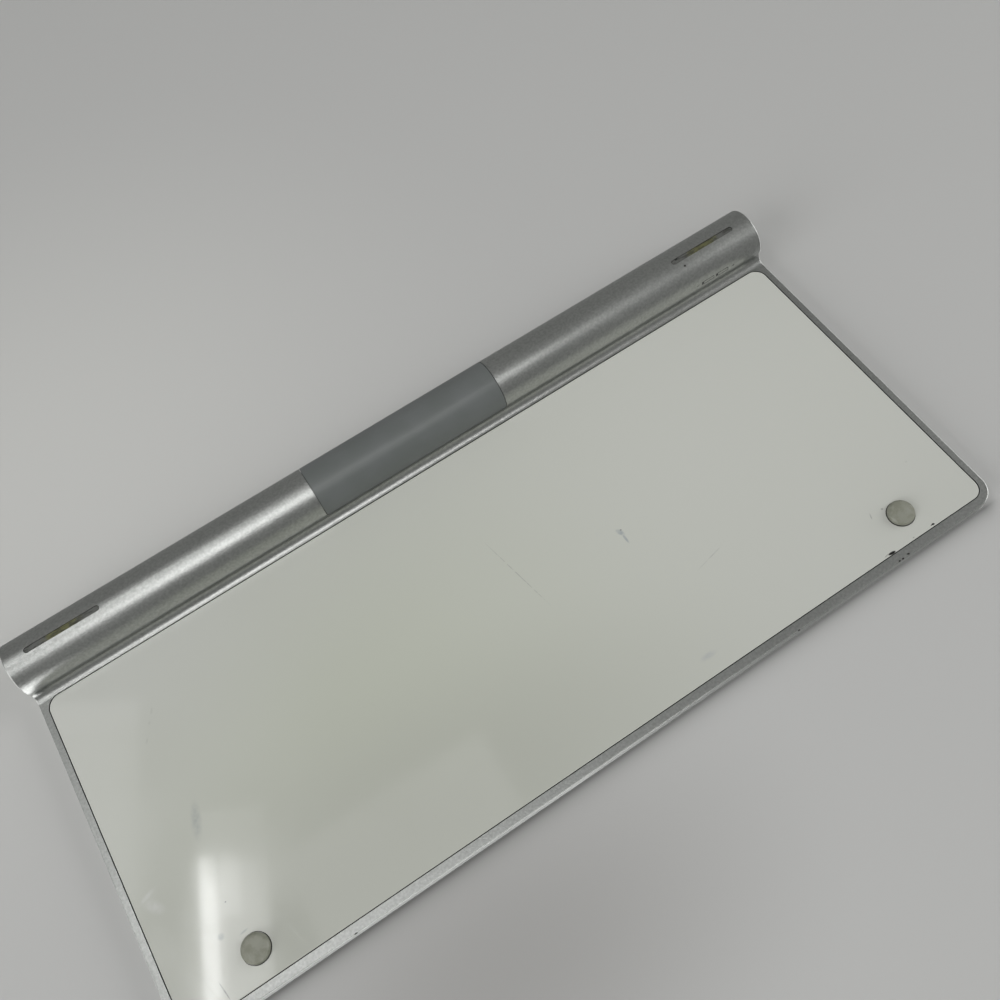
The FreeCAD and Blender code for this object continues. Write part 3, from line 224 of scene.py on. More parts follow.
    def length_of(self, vector):
        """How far a point is from the origin."""
        return self.node("VectorMath", (vector,), output="Value", operation="LENGTH")

    def spot(self, x, y, long, wide, turn=0.0, soft=0.4):
        """A soft-edged oval on the board's plane: 1 inside and 0 outside."""
        turned = (0, 0, math.radians(turn))
        any_height = 1e6
        oval = self.mapped(self.board, "TEXTURE", (x, y, 0), turned, (long, wide, any_height))
        return self.spread(self.length_of(oval), 1 - soft, 1 + soft, 1.0, 0.0)

    def most(self, masks):
        """The largest of several masks."""
        total = masks[0]
        for mask in masks[1:]:
            total = self.calculate("MAXIMUM", total, mask)
        return total


def blasted_aluminium():
    """Bead-blasted anodised aluminium: a fine grain, a soft sheen and small knocks on the rim."""
    finish = Finish("blasted_aluminium", METAL, metallic=1.0)
    finish.bumps(finish.noise(0.45, detail=2.0, roughness=0.65), 0.07, 0.50)
    finish.bumps(finish.cells(0.50), 0.06, 0.35)
    cloud = finish.noise(34, detail=3.0)
    finish.set("Roughness", finish.spread(cloud, 0.3, 0.7, 0.28, 0.33, smooth=False))
    shade = finish.spread(finish.noise(0.8), 0.3, 0.7, 0.86, 1.10, smooth=False)
    grey = finish.node("CombineXYZ", (shade, shade, shade))
    base = finish.blend(1.0, METAL, grey, "MULTIPLY")
    knocks = finish.most([
        finish.spot(-105.9, -122.9, 0.45, 0.25, turn=20),
        finish.spot(-103.6, -123.2, 0.40, 0.25),
        finish.spot(-102.3, -123.2, 0.35, 0.25),
        finish.spot(-64.0, CASE_FRONT, 0.4, 0.3),
        finish.spot(88.0, CASE_FRONT, 0.5, 0.3),
        finish.spot(-111.8, -3.7, 0.40, 0.32, soft=0.5),
    ])
    below = finish.spread(finish.axis("Z"), 0.4, 0.7, 1.0, 0.0)
    base = finish.blend(finish.calculate("MULTIPLY", knocks, below), base, (0.05, 0.048, 0.042))

    # Painted shade down in the seat's gap, and down the walls of the window's seam and the slots
    seat_side = PANEL_SIDE + SEAT_GAP
    seat_front, seat_rear = PANEL_FRONT - SEAT_GAP, PANEL_REAR - 0.6
    seat_top, seat_bottom = 0.06, 1.3
    across = finish.within(finish.axis("X"), -seat_side, seat_side)
    along = finish.within(finish.axis("Y"), seat_front, seat_rear)
    deep = finish.within(finish.axis("Z"), seat_top, seat_bottom, soft=0.03)
    seat_gap_shade = finish.calculate("MULTIPLY", across, finish.calculate("MULTIPLY", along, deep))
    between_ends = finish.within(finish.axis("X"), -SEAM_END, SEAM_END)
    in_tube_wall = finish.within(finish.from_tube_axis(), SEAM_INNER, SEAM_OUTER)
    seams = finish.calculate("MULTIPLY", between_ends, in_tube_wall)
    finish.set("Base Color", finish.blend(finish.most([seat_gap_shade, seams]), base, GAP_SHADE_BLACK))
    return finish.material


def turned_aluminium():
    """The same metal on the cap, the ring and the button, with faint rings from the lathe."""
    finish = Finish("turned_aluminium", METAL, metallic=1.0, roughness=0.34)
    finish.bumps(finish.noise(0.22, detail=2.0), 0.03, 0.35)
    radians_per_millimetre = 34.0
    turned = finish.calculate("MULTIPLY", finish.from_tube_axis(), radians_per_millimetre)
    finish.bumps(finish.calculate("SINE", turned), 0.004, 0.4)
    return finish.material


def gloss_white():
    """The underside panel: gloss white with hair scratches, scuffs, an ink spot and a chipped edge, a
    painted pool of light and painted shade across it, and painted shade down its edges in the gap.
    """
    finish = Finish("gloss_white", PANEL_WHITE, roughness=0.08, Coat_Weight=0.2, Coat_Roughness=0.03)
    warm = finish.spread(finish.noise(70, detail=1.0), 0.35, 0.65)
    tone = finish.blend(warm, (0.575, 0.585, 0.54), (0.595, 0.605, 0.565))
    # Yellower and darker in the middle
    yellower_middle = finish.spot(15, -70, 95, 45, turn=-8, soft=0.9)
    tone = finish.blend(finish.calculate("MULTIPLY", yellower_middle, 0.7), tone, (0.545, 0.575, 0.47))
    # A painted pool of light on the left, and painted shade on the right toward the front
    bright = finish.spot(-95, -50, 95, 75, turn=-10, soft=0.9)
    tone = finish.blend(finish.calculate("MULTIPLY", bright, 0.9), tone, (0.66, 0.67, 0.625))
    dull = finish.spot(75, -115, 75, 32, soft=0.9)
    tone = finish.blend(finish.calculate("MULTIPLY", dull, 0.8), tone, (0.465, 0.475, 0.425))

    # Ink, scuffs, grey smudges and specks, each group with its strength and colour
    mottle = finish.spread(finish.noise(1.4, detail=2.0), 0.30, 0.60, 0.55, 1.0)
    marks = (
        (0.62, (0.30, 0.34, 0.38), (
            finish.spot(-39.6, -67.2, 1.35, 0.70, turn=65, soft=0.5),
            finish.spot(-39.75, -69.8, 1.60, 0.35, turn=90, soft=0.5),
        )),
        (0.75, (0.13, 0.14, 0.15), (
            finish.spot(-40.2, -66.6, 0.28, 0.25, soft=0.5),
            finish.spot(115.3, -96.0, 0.25, 0.20),
        )),
        (0.30, (0.34, 0.36, 0.42), (finish.spot(-37.5, -114.6, 2.2, 0.8, soft=0.7),)),
        (0.42, (0.26, 0.29, 0.31), (finish.spot(113.1, -71.2, 3.9, 1.1, turn=-72, soft=0.9),)),
        (0.55, (0.27, 0.29, 0.30), (
            finish.spot(120.3, -103.5, 0.85, 0.75, soft=0.7),
            finish.spot(114.2, -105.8, 1.10, 0.25, turn=-7, soft=0.7),
        )),
        (0.60, (0.14, 0.145, 0.145), (
            finish.spot(-109.7, -107.2, 0.38, 0.28, soft=0.6),
            finish.spot(-105.3, -107.1, 0.90, 0.15, turn=-69, soft=0.6),
            finish.spot(125.2, -116.3, 2.50, 0.20, turn=81),
        )),
        (0.13, (0.20, 0.21, 0.21), (
            finish.spot(111.3, -33.6, 0.9, 0.3, turn=-58, soft=0.7),
            finish.spot(113.3, -36.7, 0.5, 0.3, turn=-58, soft=0.7),
            finish.spot(116.2, -41.4, 0.8, 0.3, turn=-58, soft=0.7),
            finish.spot(-126.7, -99.0, 0.35, 0.3, soft=0.7),
        )),
        (0.50, (0.70, 0.705, 0.69), (
            finish.spot(133.2, -86.0, 2.6, 1.3, turn=50, soft=0.8),
            finish.spot(134.0, -82.4, 2.2, 0.6, turn=-20, soft=0.8),
        )),
    )
    for strength, colour, spots in marks:
        uneven = finish.calculate("MULTIPLY", mottle, strength)
        mask = finish.calculate("MULTIPLY", finish.most(spots), uneven)
        tone = finish.blend(mask, tone, colour)

    # Two thin hairs of dirt, and the chips along the front edge
    hairs_of_dirt = finish.most([
        finish.spot(-5.3, -60.2, 12.6, 0.13, turn=79.4, soft=0.5),
        finish.spot(-57.6, -89.9, 5.2, 0.12, turn=-12.3, soft=0.5),
    ])
    broken = finish.spread(finish.noise(2.0, detail=2.0), 0.42, 0.55, 0.0, 0.5)
    hairs_of_dirt = finish.calculate("MULTIPLY", hairs_of_dirt, broken)
    tone = finish.blend(hairs_of_dirt, tone, (0.30, 0.31, 0.30))
    chips = finish.most([
        finish.spot(-102.2, PANEL_FRONT + 0.72, 1.25, 0.42, turn=4, soft=0.25),
        finish.spot(-118.5, PANEL_FRONT + 0.97, 0.50, 0.30, turn=15, soft=0.3),
        finish.spot(-117.9, PANEL_FRONT + 0.95, 0.35, 0.12, soft=0.4),
    ])
    tails = finish.most([
        finish.spot(-100.3, PANEL_FRONT + 0.95, 0.7, 0.14, turn=-10, soft=0.6),
        finish.spot(-110.8, PANEL_FRONT + 0.95, 0.3, 0.15, soft=0.6),
    ])
    tone = finish.blend(finish.calculate("MULTIPLY", tails, 0.5), tone, (0.10, 0.10, 0.10))
    # Painted shade down the panel's edges in the gap, except along the rear
    beside_gap = finish.calculate("LESS_THAN", finish.axis("Y"), PANEL_REAR - 0.7)
    gap_wall_shade = finish.calculate("MULTIPLY", beside_gap, finish.spread(finish.axis("Z"), 0.05, 0.12))
    finish.set("Base Color", finish.blend(finish.most([chips, gap_wall_shade]), tone, GAP_SHADE_BLACK))

    # Scratches and wiping marks, which show only in a reflection
    directions = ((25, 0.5, 40, 0.660), (-38, 0.4, 30, 0.666), (74, 0.6, 50, 0.674))
    scratches = []
    for turn, width, length, least in directions:
        drawn = finish.stretched(length, width, 1.0, turn)
        streak = finish.noise(1.0, detail=1.0, vector=drawn, distortion=0.2)
        scratches.append(finish.spread(streak, least, 0.74))
    scratched = finish.most(scratches)
    finish.bumps(scratched, 0.004, 0.5)
    finish.bumps(finish.noise(9, detail=1.0), 0.010, 0.30)
    smear = finish.spread(finish.noise(26, detail=4.0, roughness=0.6), 0.45, 0.70)
    smeared = finish.spread(smear, 0.0, 1.0, 0.07, 0.15, smooth=False)
    roughened = finish.calculate("MULTIPLY", scratched, 0.12)
    finish.set("Roughness", finish.calculate("ADD", smeared, roughened))
    return finish.material


def satin_window():
    """The grey antenna window: smooth satin plastic with a faint mottle, and painted shade down the walls
    of its seams.
    """
    finish = Finish("satin_window", (0.145, 0.156, 0.152), roughness=0.32)
    cloud = finish.spread(finish.noise(12, detail=2.0), 0.35, 0.65)
    tone = finish.blend(cloud, (0.138, 0.150, 0.145), (0.150, 0.161, 0.159))
    # Painted shade down the walls of the window's seams
    window_inside = 8.0
    seam = finish.within(finish.from_tube_axis(), window_inside, SEAM_OUTER)
    finish.set("Base Color", finish.blend(seam, tone, GAP_SHADE_BLACK))
    finish.bumps(finish.noise(0.5, detail=2.0), 0.008, 0.25)
    drag = finish.noise(1.0, detail=2.0, vector=finish.stretched(30, 0.6, 0.6))
    finish.set("Roughness", finish.spread(drag, 0.35, 0.75, 0.28, 0.40, smooth=False))
    return finish.material


def foot_rubber():
    """Worn, slightly clear rubber, darker where it has picked up dirt, with painted shade down at its
    base.
    """
    finish = Finish("foot_rubber", (0.27, 0.275, 0.225), roughness=0.42, Subsurface_Weight=0.15,
                    Subsurface_Radius=(0.002, 0.002, 0.0018), Subsurface_Scale=0.5)
    dirt = finish.spread(finish.noise(2.6, detail=4.0, roughness=0.6), 0.42, 0.66)
    tone = finish.blend(dirt, (0.285, 0.29, 0.24), (0.235, 0.24, 0.19))
    # Painted shade down at the base, where the foot meets the panel
    base = finish.spread(finish.axis("Z"), -0.50, -0.25)
    finish.set("Base Color", finish.blend(base, tone, (0.05, 0.05, 0.045)))
    finish.bumps(finish.noise(0.4, detail=3.0), 0.03, 0.4)
    finish.set("Roughness", finish.spread(dirt, 0.0, 1.0, 0.36, 0.55, smooth=False))
    return finish.material


def strip_residue():
    """What is left of the long feet: dull old glue, olive in the middle and grey toward the ends."""
    slot_middle = 121.2
    finish = Finish("strip_residue", (0.11, 0.11, 0.09), roughness=0.55)
    along = finish.calculate("ABSOLUTE", finish.axis("X"))
    from_middle = finish.calculate("SUBTRACT", along, slot_middle)
    uneven = finish.spread(finish.noise(1.6, detail=4.0), 0.2, 0.8, -3.0, 3.0, smooth=False)
    ragged = finish.calculate("ADD", finish.calculate("ABSOLUTE", from_middle), uneven)
    tone = finish.blend(finish.spread(ragged, 2.5, 7.5), (0.120, 0.120, 0.050), (0.112, 0.115, 0.107))
    drawn_out = finish.noise(0.8, detail=4.0, roughness=0.65, vector=finish.stretched(3.5, 1.0, 1.0))
    grime = finish.spread(drawn_out, 0.45, 0.62)
    tone = finish.blend(finish.calculate("MULTIPLY", grime, 0.75), tone, (0.028, 0.028, 0.022))
    # A black dot near one end of the slot
    black_dot = finish.spot(-110.75, 0.15, 0.60, 0.55, turn=30, soft=0.3)
    finish.set("Base Color", finish.blend(black_dot, tone, (0.008, 0.008, 0.008)))
    finish.bumps(finish.noise(0.5, detail=4.0, roughness=0.65), 0.12, 0.8)
    return finish.material


def key_white():
    """The caps: fine-textured white plastic, a touch shinier where fingers have worn it."""
    finish = Finish("key_white", KEY_WHITE, roughness=0.42)
    finish.bumps(finish.noise(0.18, detail=2.0), 0.012, 0.5)
    cloud = finish.spread(finish.noise(22, detail=2.0), 0.35, 0.65)
    finish.set("Base Color", finish.blend(cloud, KEY_WHITE, (0.68, 0.685, 0.68)))
    worn = finish.noise(7, detail=3.0)
    finish.set("Roughness", finish.spread(worn, 0.35, 0.65, 0.36, 0.48, smooth=False))
    return finish.material


def plain_plastic(name, colour, roughness=0.45, grain=0.3):
    """A moulded or printed piece inside, with a fine texture and a little unevenness."""
    finish = Finish(name, colour, roughness=roughness)
    darker = tuple(part * 0.86 for part in colour)
    cloud = finish.spread(finish.noise(5, detail=3.0), 0.35, 0.65)
    finish.set("Base Color", finish.blend(cloud, colour, darker))
    finish.bumps(finish.noise(grain, detail=2.0), 0.02, 0.4)
    return finish.material


def rolled_metal(name, colour, roughness=0.3):
    """Rolled or drawn metal, with fine lines along its length."""
    finish = Finish(name, colour, metallic=1.0, roughness=roughness)
    lines = finish.noise(1.0, detail=3.0, vector=finish.stretched(20, 0.25, 0.25))
    finish.bumps(lines, 0.01, 0.4)
    finest, coarsest = roughness - 0.06, roughness + 0.10
    finish.set("Roughness", finish.spread(lines, 0.3, 0.7, finest, coarsest, smooth=False))
    return finish.material


def circuit_board():
    """Solder-masked laminate with tracks a little lighter than the mask."""
    finish = Finish("circuit_board", (0.02, 0.12, 0.06), roughness=0.35)
    grid = finish.cells(1.4, feature="DISTANCE_TO_EDGE")
    track = finish.spread(grid, 0.05, 0.09, 1.0, 0.0)
    finish.set("Base Color", finish.blend(track, (0.018, 0.11, 0.055), (0.03, 0.20, 0.10)))
    finish.bumps(track, 0.03, 0.5)
    return finish.material


def cell_jacket():
    """A penlight cell's plain printed jacket: copper and dark blue-grey, with a bright end."""
    first_cell, cell_length = 132.3, 50.5
    finish = Finish("cell_jacket", (0.22, 0.25, 0.30), metallic=0.6, roughness=0.3)
    along = finish.calculate("MODULO", finish.calculate("ADD", finish.axis("X"), first_cell), cell_length)
    band = finish.spread(along, 13.8, 14.2, smooth=False)
    tip = finish.spread(along, 48.9, 49.2, smooth=False)
    tone = finish.blend(band, (0.50, 0.36, 0.16), (0.10, 0.115, 0.14))
    finish.set("Base Color", finish.blend(tip, tone, (0.6, 0.6, 0.6)))
    finish.bumps(finish.noise(2.5, detail=2.0), 0.02, 0.3)
    return finish.material


def clear_lens():
    """The small clear piece over the status light."""
    finish = Finish("clear_lens", (0.80, 0.92, 0.82), roughness=0.22, Transmission_Weight=0.6, IOR=1.49)
    finish.bumps(finish.noise(0.3, detail=2.0), 0.01, 0.3)
    return finish.material


def printed(name, colour):
    """Pad-printed ink: even, with slightly broken edges."""
    finish = Finish(name, colour, roughness=0.5)
    fleck = finish.spread(finish.noise(0.25, detail=2.0), 0.35, 0.65)
    finish.set("Base Color", finish.blend(fleck, colour, tuple(part * 1.15 for part in colour)))
    return finish.material


def dress(material, *nodes):
    """Gives CAD nodes a finish; their shapes stay as they are."""
    for node in nodes:
        for slot in frame["nodes"][node].material_slots:
            slot.material = material


LETTER_NODES = [f"key_{letter}" for letter in "abcdefghijklmnopqrstuvwxyz"]
WIDE_NODES = ["key_space", "key_enter", "key_shift_left", "key_shift_right"]
GROUP_NODES = ["number_row_keys", "function_row_keys", "punctuation_keys", "modifier_keys"]

dress(blasted_aluminium(), "top_case")
dress(turned_aluminium(), "battery_cap", "button_ring", "power_button")
dress(gloss_white(), "bottom_panel")
dress(satin_window(), "antenna_window")
dress(strip_residue(), "rear_foot_strips")
dress(key_white(), *LETTER_NODES, *WIDE_NODES, *GROUP_NODES)
sleeve_black = plain_plastic("sleeve_black", (0.035, 0.035, 0.038))
dress(sleeve_black, "battery_sleeve", "board_carrier", "power_switch")
dress(plain_plastic("seal_black", (0.02, 0.02, 0.02), 0.6), "cap_seal_ring")
dress(plain_plastic("membrane_film", (0.50, 0.55, 0.53), 0.25, 6.0), "key_membrane")
dress(plain_plastic("cable_film", (0.50, 0.26, 0.05), 0.25, 4.0), "flex_cable")
dress(rolled_metal("sheet_steel", (0.52, 0.53, 0.54)), "key_base_plate", "plate_screws")
dress(rolled_metal("spring_steel", (0.62, 0.58, 0.50), 0.22), "cap_spring", "inner_contact")
dress(circuit_board(), "controller_board", "antenna_board")
dress(cell_jacket(), "battery_cells")
dress(clear_lens(), "status_lens")


# New pieces

SHARP_EDGE = math.radians(35)


def finished(name, shape, body, material):
    """Puts a shape drawn in board millimetres in its place, on the body it moves with."""
    shape.transform(BOARD)
    mesh = bpy.data.meshes.new(name)
    shape.to_mesh(mesh)
    shape.free()
    mesh.materials.append(material)
    mesh.shade_smooth()
    mesh.set_sharp_from_angle(angle=SHARP_EDGE)
    piece = bpy.data.objects.new(name, mesh)
    bpy.context.collection.objects.link(piece)
    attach(piece, body)
    return piece


FOOT_RADIUS = 4.2
FOOT_PROUD = 2.0
FOOT_SUNK = 0.35
FOOT_ROUNDING = 1.35
FOOT_SIDE = 113.1
FOOT_LINE = PANEL_FRONT + 9.15


def front_feet():
    """Two round feet with well rounded edges, worn level with the desk."""
    shape = bmesh.new()
    for side in (-1, 1):
        middle = Matrix.Translation((side * FOOT_SIDE, FOOT_LINE, -FOOT_PROUD))
        disc = bmesh.ops.create_circle(shape, cap_ends=True, radius=FOOT_RADIUS, segments=72,
                                       matrix=middle)
        base = list({face for vert in disc["verts"] for face in vert.link_faces})
        raised = bmesh.ops.extrude_face_region(shape, geom=base)["geom"]
        top = [item for item in raised if isinstance(item, bmesh.types.BMVert)]
        bmesh.ops.translate(shape, verts=top, vec=(0, 0, FOOT_PROUD + FOOT_SUNK))
    bmesh.ops.recalc_face_normals(shape, faces=shape.faces)
    rims = [edge for edge in shape.edges
            if all(abs(vert.co.z + FOOT_PROUD) < 1e-6 for vert in edge.verts)]
    bmesh.ops.bevel(shape, geom=rims, offset=FOOT_ROUNDING, offset_type="OFFSET", affect="EDGES",
                    segments=8, profile=0.5, material=-1)
    desk_point = BOARD.inverted() @ Vector((0, 0, 0))
    desk_up = Matrix.Rotation(-LEAN, 4, "X") @ Vector((0, 0, 1))
    everything = [*shape.verts, *shape.edges, *shape.faces]
    cut = bmesh.ops.bisect_plane(shape, geom=everything, plane_co=desk_point, plane_no=desk_up,
                                 clear_inner=True)
    rims = [item for item in cut["geom_cut"] if isinstance(item, bmesh.types.BMEdge)]
    bmesh.ops.holes_fill(shape, edges=rims, sides=0)
    bmesh.ops.recalc_face_normals(shape, faces=shape.faces)
    feet = finished("worn_front_feet", shape, "case", foot_rubber())
    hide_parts("front_feet")


INKED_RADIUS = TUBE_RADIUS + 0.015


def bar(shape, x, around, long, tall):
    """Lays one printed bar on the tube, at a place along it and an angle round from straight down."""
    made = bmesh.ops.create_grid(shape, x_segments=1, y_segments=4, size=0.5)["verts"]
    for vert in made:
        turn = math.radians(around) + vert.co.y * tall / TUBE_RADIUS
        forward, down = INKED_RADIUS * math.sin(turn), INKED_RADIUS * math.cos(turn)
        vert.co = (x + vert.co.x * long, -forward, -TUBE_DROP - down)


def polarity_marks():
    """Two cells in outline between a minus and a plus, printed on the tube by the battery cap."""
    around, line, sign = 82.0, 0.20, 0.9
    cell_long, cell_tall, knob = 5.2, 1.3, 0.7
    minus, plus, cell_starts = -113.8, -128.9, (-115.5, -121.5)
    step = math.degrees((cell_tall - line) / 2 / TUBE_RADIUS)
    shape = bmesh.new()
    bar(shape, minus, around, sign, line)
    for start in cell_starts:
        middle, end = start - cell_long / 2, start - cell_long
        bar(shape, middle, around - step, cell_long, line)
        bar(shape, middle, around + step, cell_long, line)
        bar(shape, start - line / 2, around, line, cell_tall)
        bar(shape, end + line / 2, around, line, cell_tall)
        bar(shape, start - line - knob / 2, around, knob, knob)
    bar(shape, plus, around, sign, line)
    bar(shape, plus, around, line, sign)
    bmesh.ops.recalc_face_normals(shape, faces=shape.faces)
    ink = printed("polarity_ink", (0.05, 0.05, 0.05))
    finished("polarity_marks", shape, "case", ink)


# Key legends: each key's node, its width in pitches and what is printed on it

PITCH = 19.05
KEY_GAP = 2.9
KEY_SIDE = PITCH - KEY_GAP
FUNCTION_KEY_DEPTH = 7.9
KEYS_MARGIN = 4.75
FIRST_ROW = CASE_FRONT + KEYS_MARGIN + KEY_SIDE / 2
CAP_TOP = PLATE_THICKNESS + 1.7
INK_TOP = CAP_TOP + 0.012
LETTER_HEIGHT = 5.6
PAIR_HEIGHT = 4.2
PAIR_STEP = 3.1
WORD_HEIGHT = 2.9
WORD_INSET = 2.2
WORD_DROP = 5.2
FUNCTION_HEIGHT = 2.7
ARROW_RADIUS = 1.15
ARROW_STEP = 4.2

KEY_ROWS = (
    (("modifier_keys", 1, "fn"), ("modifier_keys", 1, "ctrl"), ("modifier_keys", 1, "alt"),
     ("modifier_keys", 1.25, "meta"), ("key_space", 5, ""), ("modifier_keys", 1.25, "meta"),
     ("modifier_keys", 1, "alt"), ("modifier_keys", 1, "left"), ("modifier_keys", 1, "up down"),
     ("modifier_keys", 1, "right")),
    (("key_shift_left", 2.25, "shift"), *((f"key_{letter.lower()}", 1, letter) for letter in "ZXCVBNM"),
     ("punctuation_keys", 1, ", <"), ("punctuation_keys", 1, ". >"), ("punctuation_keys", 1, "/ ?"),
     ("key_shift_right", 2.25, "shift")),
    (("punctuation_keys", 1.75, "caps lock"),
     *((f"key_{letter.lower()}", 1, letter) for letter in "ASDFGHJKL"),
     ("punctuation_keys", 1, "; :"), ("punctuation_keys", 1, "' \""), ("key_enter", 1.75, "enter")),
    (("punctuation_keys", 1.5, "tab"), *((f"key_{letter.lower()}", 1, letter) for letter in "QWERTYUIOP"),
     ("punctuation_keys", 1, "[ {"), ("punctuation_keys", 1, "] }"), ("punctuation_keys", 1, "\\ |")),
    (("number_row_keys", 1, "` ~"), *(("number_row_keys", 1, pair) for pair in (
        "1 !", "2 @", "3 #", "4 $", "5 %", "6 ^", "7 &", "8 *", "9 (", "0 )", "- _", "= +")),
     ("number_row_keys", 1.5, "backspace")),
)
FUNCTION_ROW = ("esc", *(f"F{number}" for number in range(1, 13)), "eject")
ROW_PITCHES = sum(width for _, width, _ in KEY_ROWS[0])


def lettering(shape, text, height, x, y, align="CENTER"):
    """Adds a word's flat letters to a shape, its middle or end at a place on the caps' plane."""
    curve = bpy.data.curves.new("lettering", "FONT")
    curve.body = text
    curve.size = height
    curve.align_x = align
    curve.align_y = "CENTER"
    curve.resolution_u = 3
    holder = bpy.data.objects.new("lettering", curve)
    mesh = bpy.data.meshes.new_from_object(holder)
    mesh.transform(Matrix.Translation((x, y, INK_TOP)))
    shape.from_mesh(mesh)
    bpy.data.objects.remove(holder)
    bpy.data.curves.remove(curve)
    bpy.data.meshes.remove(mesh)


def arrow(shape, x, y, turn):
    """A small solid triangle that points the way its key moves."""
    place = Matrix.Translation((x, y, INK_TOP)) @ Matrix.Rotation(math.radians(turn), 4, "Z")
    bmesh.ops.create_circle(shape, cap_ends=True, radius=ARROW_RADIUS, segments=3, matrix=place)


def legend(shape, text, x, y, width):
    """Prints one key: a letter or a pair in the middle, a word near its lower outer corner."""
    if text == "left":
        arrow(shape, x, y, 90)
    elif text == "right":
        arrow(shape, x, y, -90)
    elif text == "up down":
        arrow(shape, x, y + ARROW_STEP, 0)
        arrow(shape, x, y - ARROW_STEP, 180)
    elif len(text) == 1:
        lettering(shape, text, LETTER_HEIGHT, x, y)
    elif len(text) == 3 and text[1] == " ":
        lettering(shape, text[2], PAIR_HEIGHT, x, y + PAIR_STEP)
        lettering(shape, text[0], PAIR_HEIGHT, x, y - PAIR_STEP)
    else:
        side, align = (1, "RIGHT") if x > 0 else (-1, "LEFT")
        edge = x + side * (width / 2 - WORD_INSET)
        lettering(shape, text, WORD_HEIGHT, edge, y - WORD_DROP, align)


def key_legends():
    """All the printing, one piece for each body of keys."""
    shapes = defaultdict(bmesh.new)
    for row, keys in enumerate(KEY_ROWS):
        y = FIRST_ROW + row * PITCH
        passed = -ROW_PITCHES / 2
        for node, pitches, text in keys:
            x = PITCH * (passed + pitches / 2)
            passed += pitches
            if text:
                legend(shapes[node], text, x, y, PITCH * pitches - KEY_GAP)
    function_pitch = PITCH * ROW_PITCHES / len(FUNCTION_ROW)
    function_y = FIRST_ROW + len(KEY_ROWS) * PITCH - (KEY_SIDE - FUNCTION_KEY_DEPTH) / 2
    for column, text in enumerate(FUNCTION_ROW):
        x = (column + 0.5) * function_pitch - PITCH * ROW_PITCHES / 2
        lettering(shapes["function_row_keys"], text, FUNCTION_HEIGHT, x, function_y)
    ink = printed("legend_ink", INK)
    for node, shape in shapes.items():
        finished(f"{node}_legend", shape, node, ink)


# Under the keys: the CAD's domes, links and bars, parted into one piece for each body of keys


def keys_above(x, y):
    """The body of keys over a place on the board."""
    row = math.floor((y - FIRST_ROW) / PITCH + 0.5)
    if row >= len(KEY_ROWS):
        return "function_row_keys"
    left = x / PITCH + ROW_PITCHES / 2
    for node, pitches, _ in KEY_ROWS[row]:
        left -= pitches
        if left < 0:
            break
    return node


def parted_by_keys(node):
    """A CAD node in board millimetres, as one shape for each body of keys above it."""
    whole = bmesh.new()
    whole.from_mesh(frame["nodes"][node].data)
    whole.transform(BOARD.inverted())
    bmesh.ops.remove_doubles(whole, verts=whole.verts, dist=0.0001)
    middles = [face.calc_center_median() for face in whole.faces]
    owners = [keys_above(middle.x, middle.y) for middle in middles]
    parts = {}
    for body in dict.fromkeys(owners):
        parts[body] = whole.copy()
        others = [face for face, owner in zip(parts[body].faces, owners) if owner != body]
        bmesh.ops.delete(parts[body], geom=others, context="FACES")
    whole.free()
    return parts


def fold_under_keys(node, material):
    """Replaces a CAD node by pieces parted by the body of keys above them, all carried by the case."""
    for body, shape in parted_by_keys(node).items():
        piece = finished(f"{node}_under_{body}", shape, "case", material)
        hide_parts(node)
        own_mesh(piece)


front_feet()
polarity_marks()
key_legends()
link_white = plain_plastic("link_white", (0.66, 0.66, 0.64))
dome_silicone = plain_plastic("dome_silicone", (0.60, 0.60, 0.56), 0.55)
bar_steel = rolled_metal("bar_steel", (0.62, 0.58, 0.50), 0.22)
fold_under_keys("rubber_domes", dome_silicone)
fold_under_keys("outer_scissor_links", link_white)
fold_under_keys("inner_scissor_links", link_white)
fold_under_keys("stabiliser_bars", bar_steel)


# Floor, backdrop, lamps and camera

def one_sided(finish, keep_front):
    """Lets a plain surface be seen from one side only, so that it never hides the object."""
    nodes, links = finish.tree.nodes, finish.tree.links
    clear = nodes.new("ShaderNodeBsdfTransparent")
    choose = nodes.new("ShaderNodeMixShader")
    facing = nodes.new("ShaderNodeNewGeometry")
    links.new(facing.outputs["Backfacing"], choose.inputs["Fac"])
    seen, hidden = (finish.shader, clear) if keep_front else (clear, finish.shader)
    links.new(seen.outputs[0], choose.inputs[1])
    links.new(hidden.outputs[0], choose.inputs[2])
    links.new(choose.outputs[0], nodes["Material Output"].inputs["Surface"])
    return finish.material


def table_pale():
    """The pale table, with painted shadow close along the case's front edge, where little light gets in,
    a painted pool of light behind the tube and a painted shadow before the case.
    """
    deepest, per_millimetre = 0.62, -0.45
    finish = Finish("table_pale", TABLE_GREY, roughness=0.6, Specular_IOR_Level=0.2)
    # Painted shadow close along the case's front edge
    beyond = finish.calculate("SUBTRACT", CASE_FRONT, finish.axis("Y"))
    away = finish.calculate("ABSOLUTE", beyond)
    shade = finish.calculate("EXPONENT", finish.calculate("MULTIPLY", away, per_millimetre))
    beside = finish.within(finish.axis("X"), -CASE_END, CASE_END, soft=4.0)
    shade = finish.calculate("MULTIPLY", finish.calculate("MULTIPLY", shade, beside), deepest)
    # A painted pool of light behind the tube, and a painted shadow before the case
    table_light_pool = finish.spot(115, 75, 110, 95, soft=0.95)
    table_shadow_patch = finish.spot(62, -153, 60, 35, soft=0.95)
    tone = finish.blend(table_light_pool, TABLE_GREY, (0.66, 0.66, 0.64))
    tone = finish.blend(table_shadow_patch, tone, (0.42, 0.415, 0.405))
    finish.set("Base Color", finish.blend(shade, tone, (0.02, 0.02, 0.02)))
    return finish


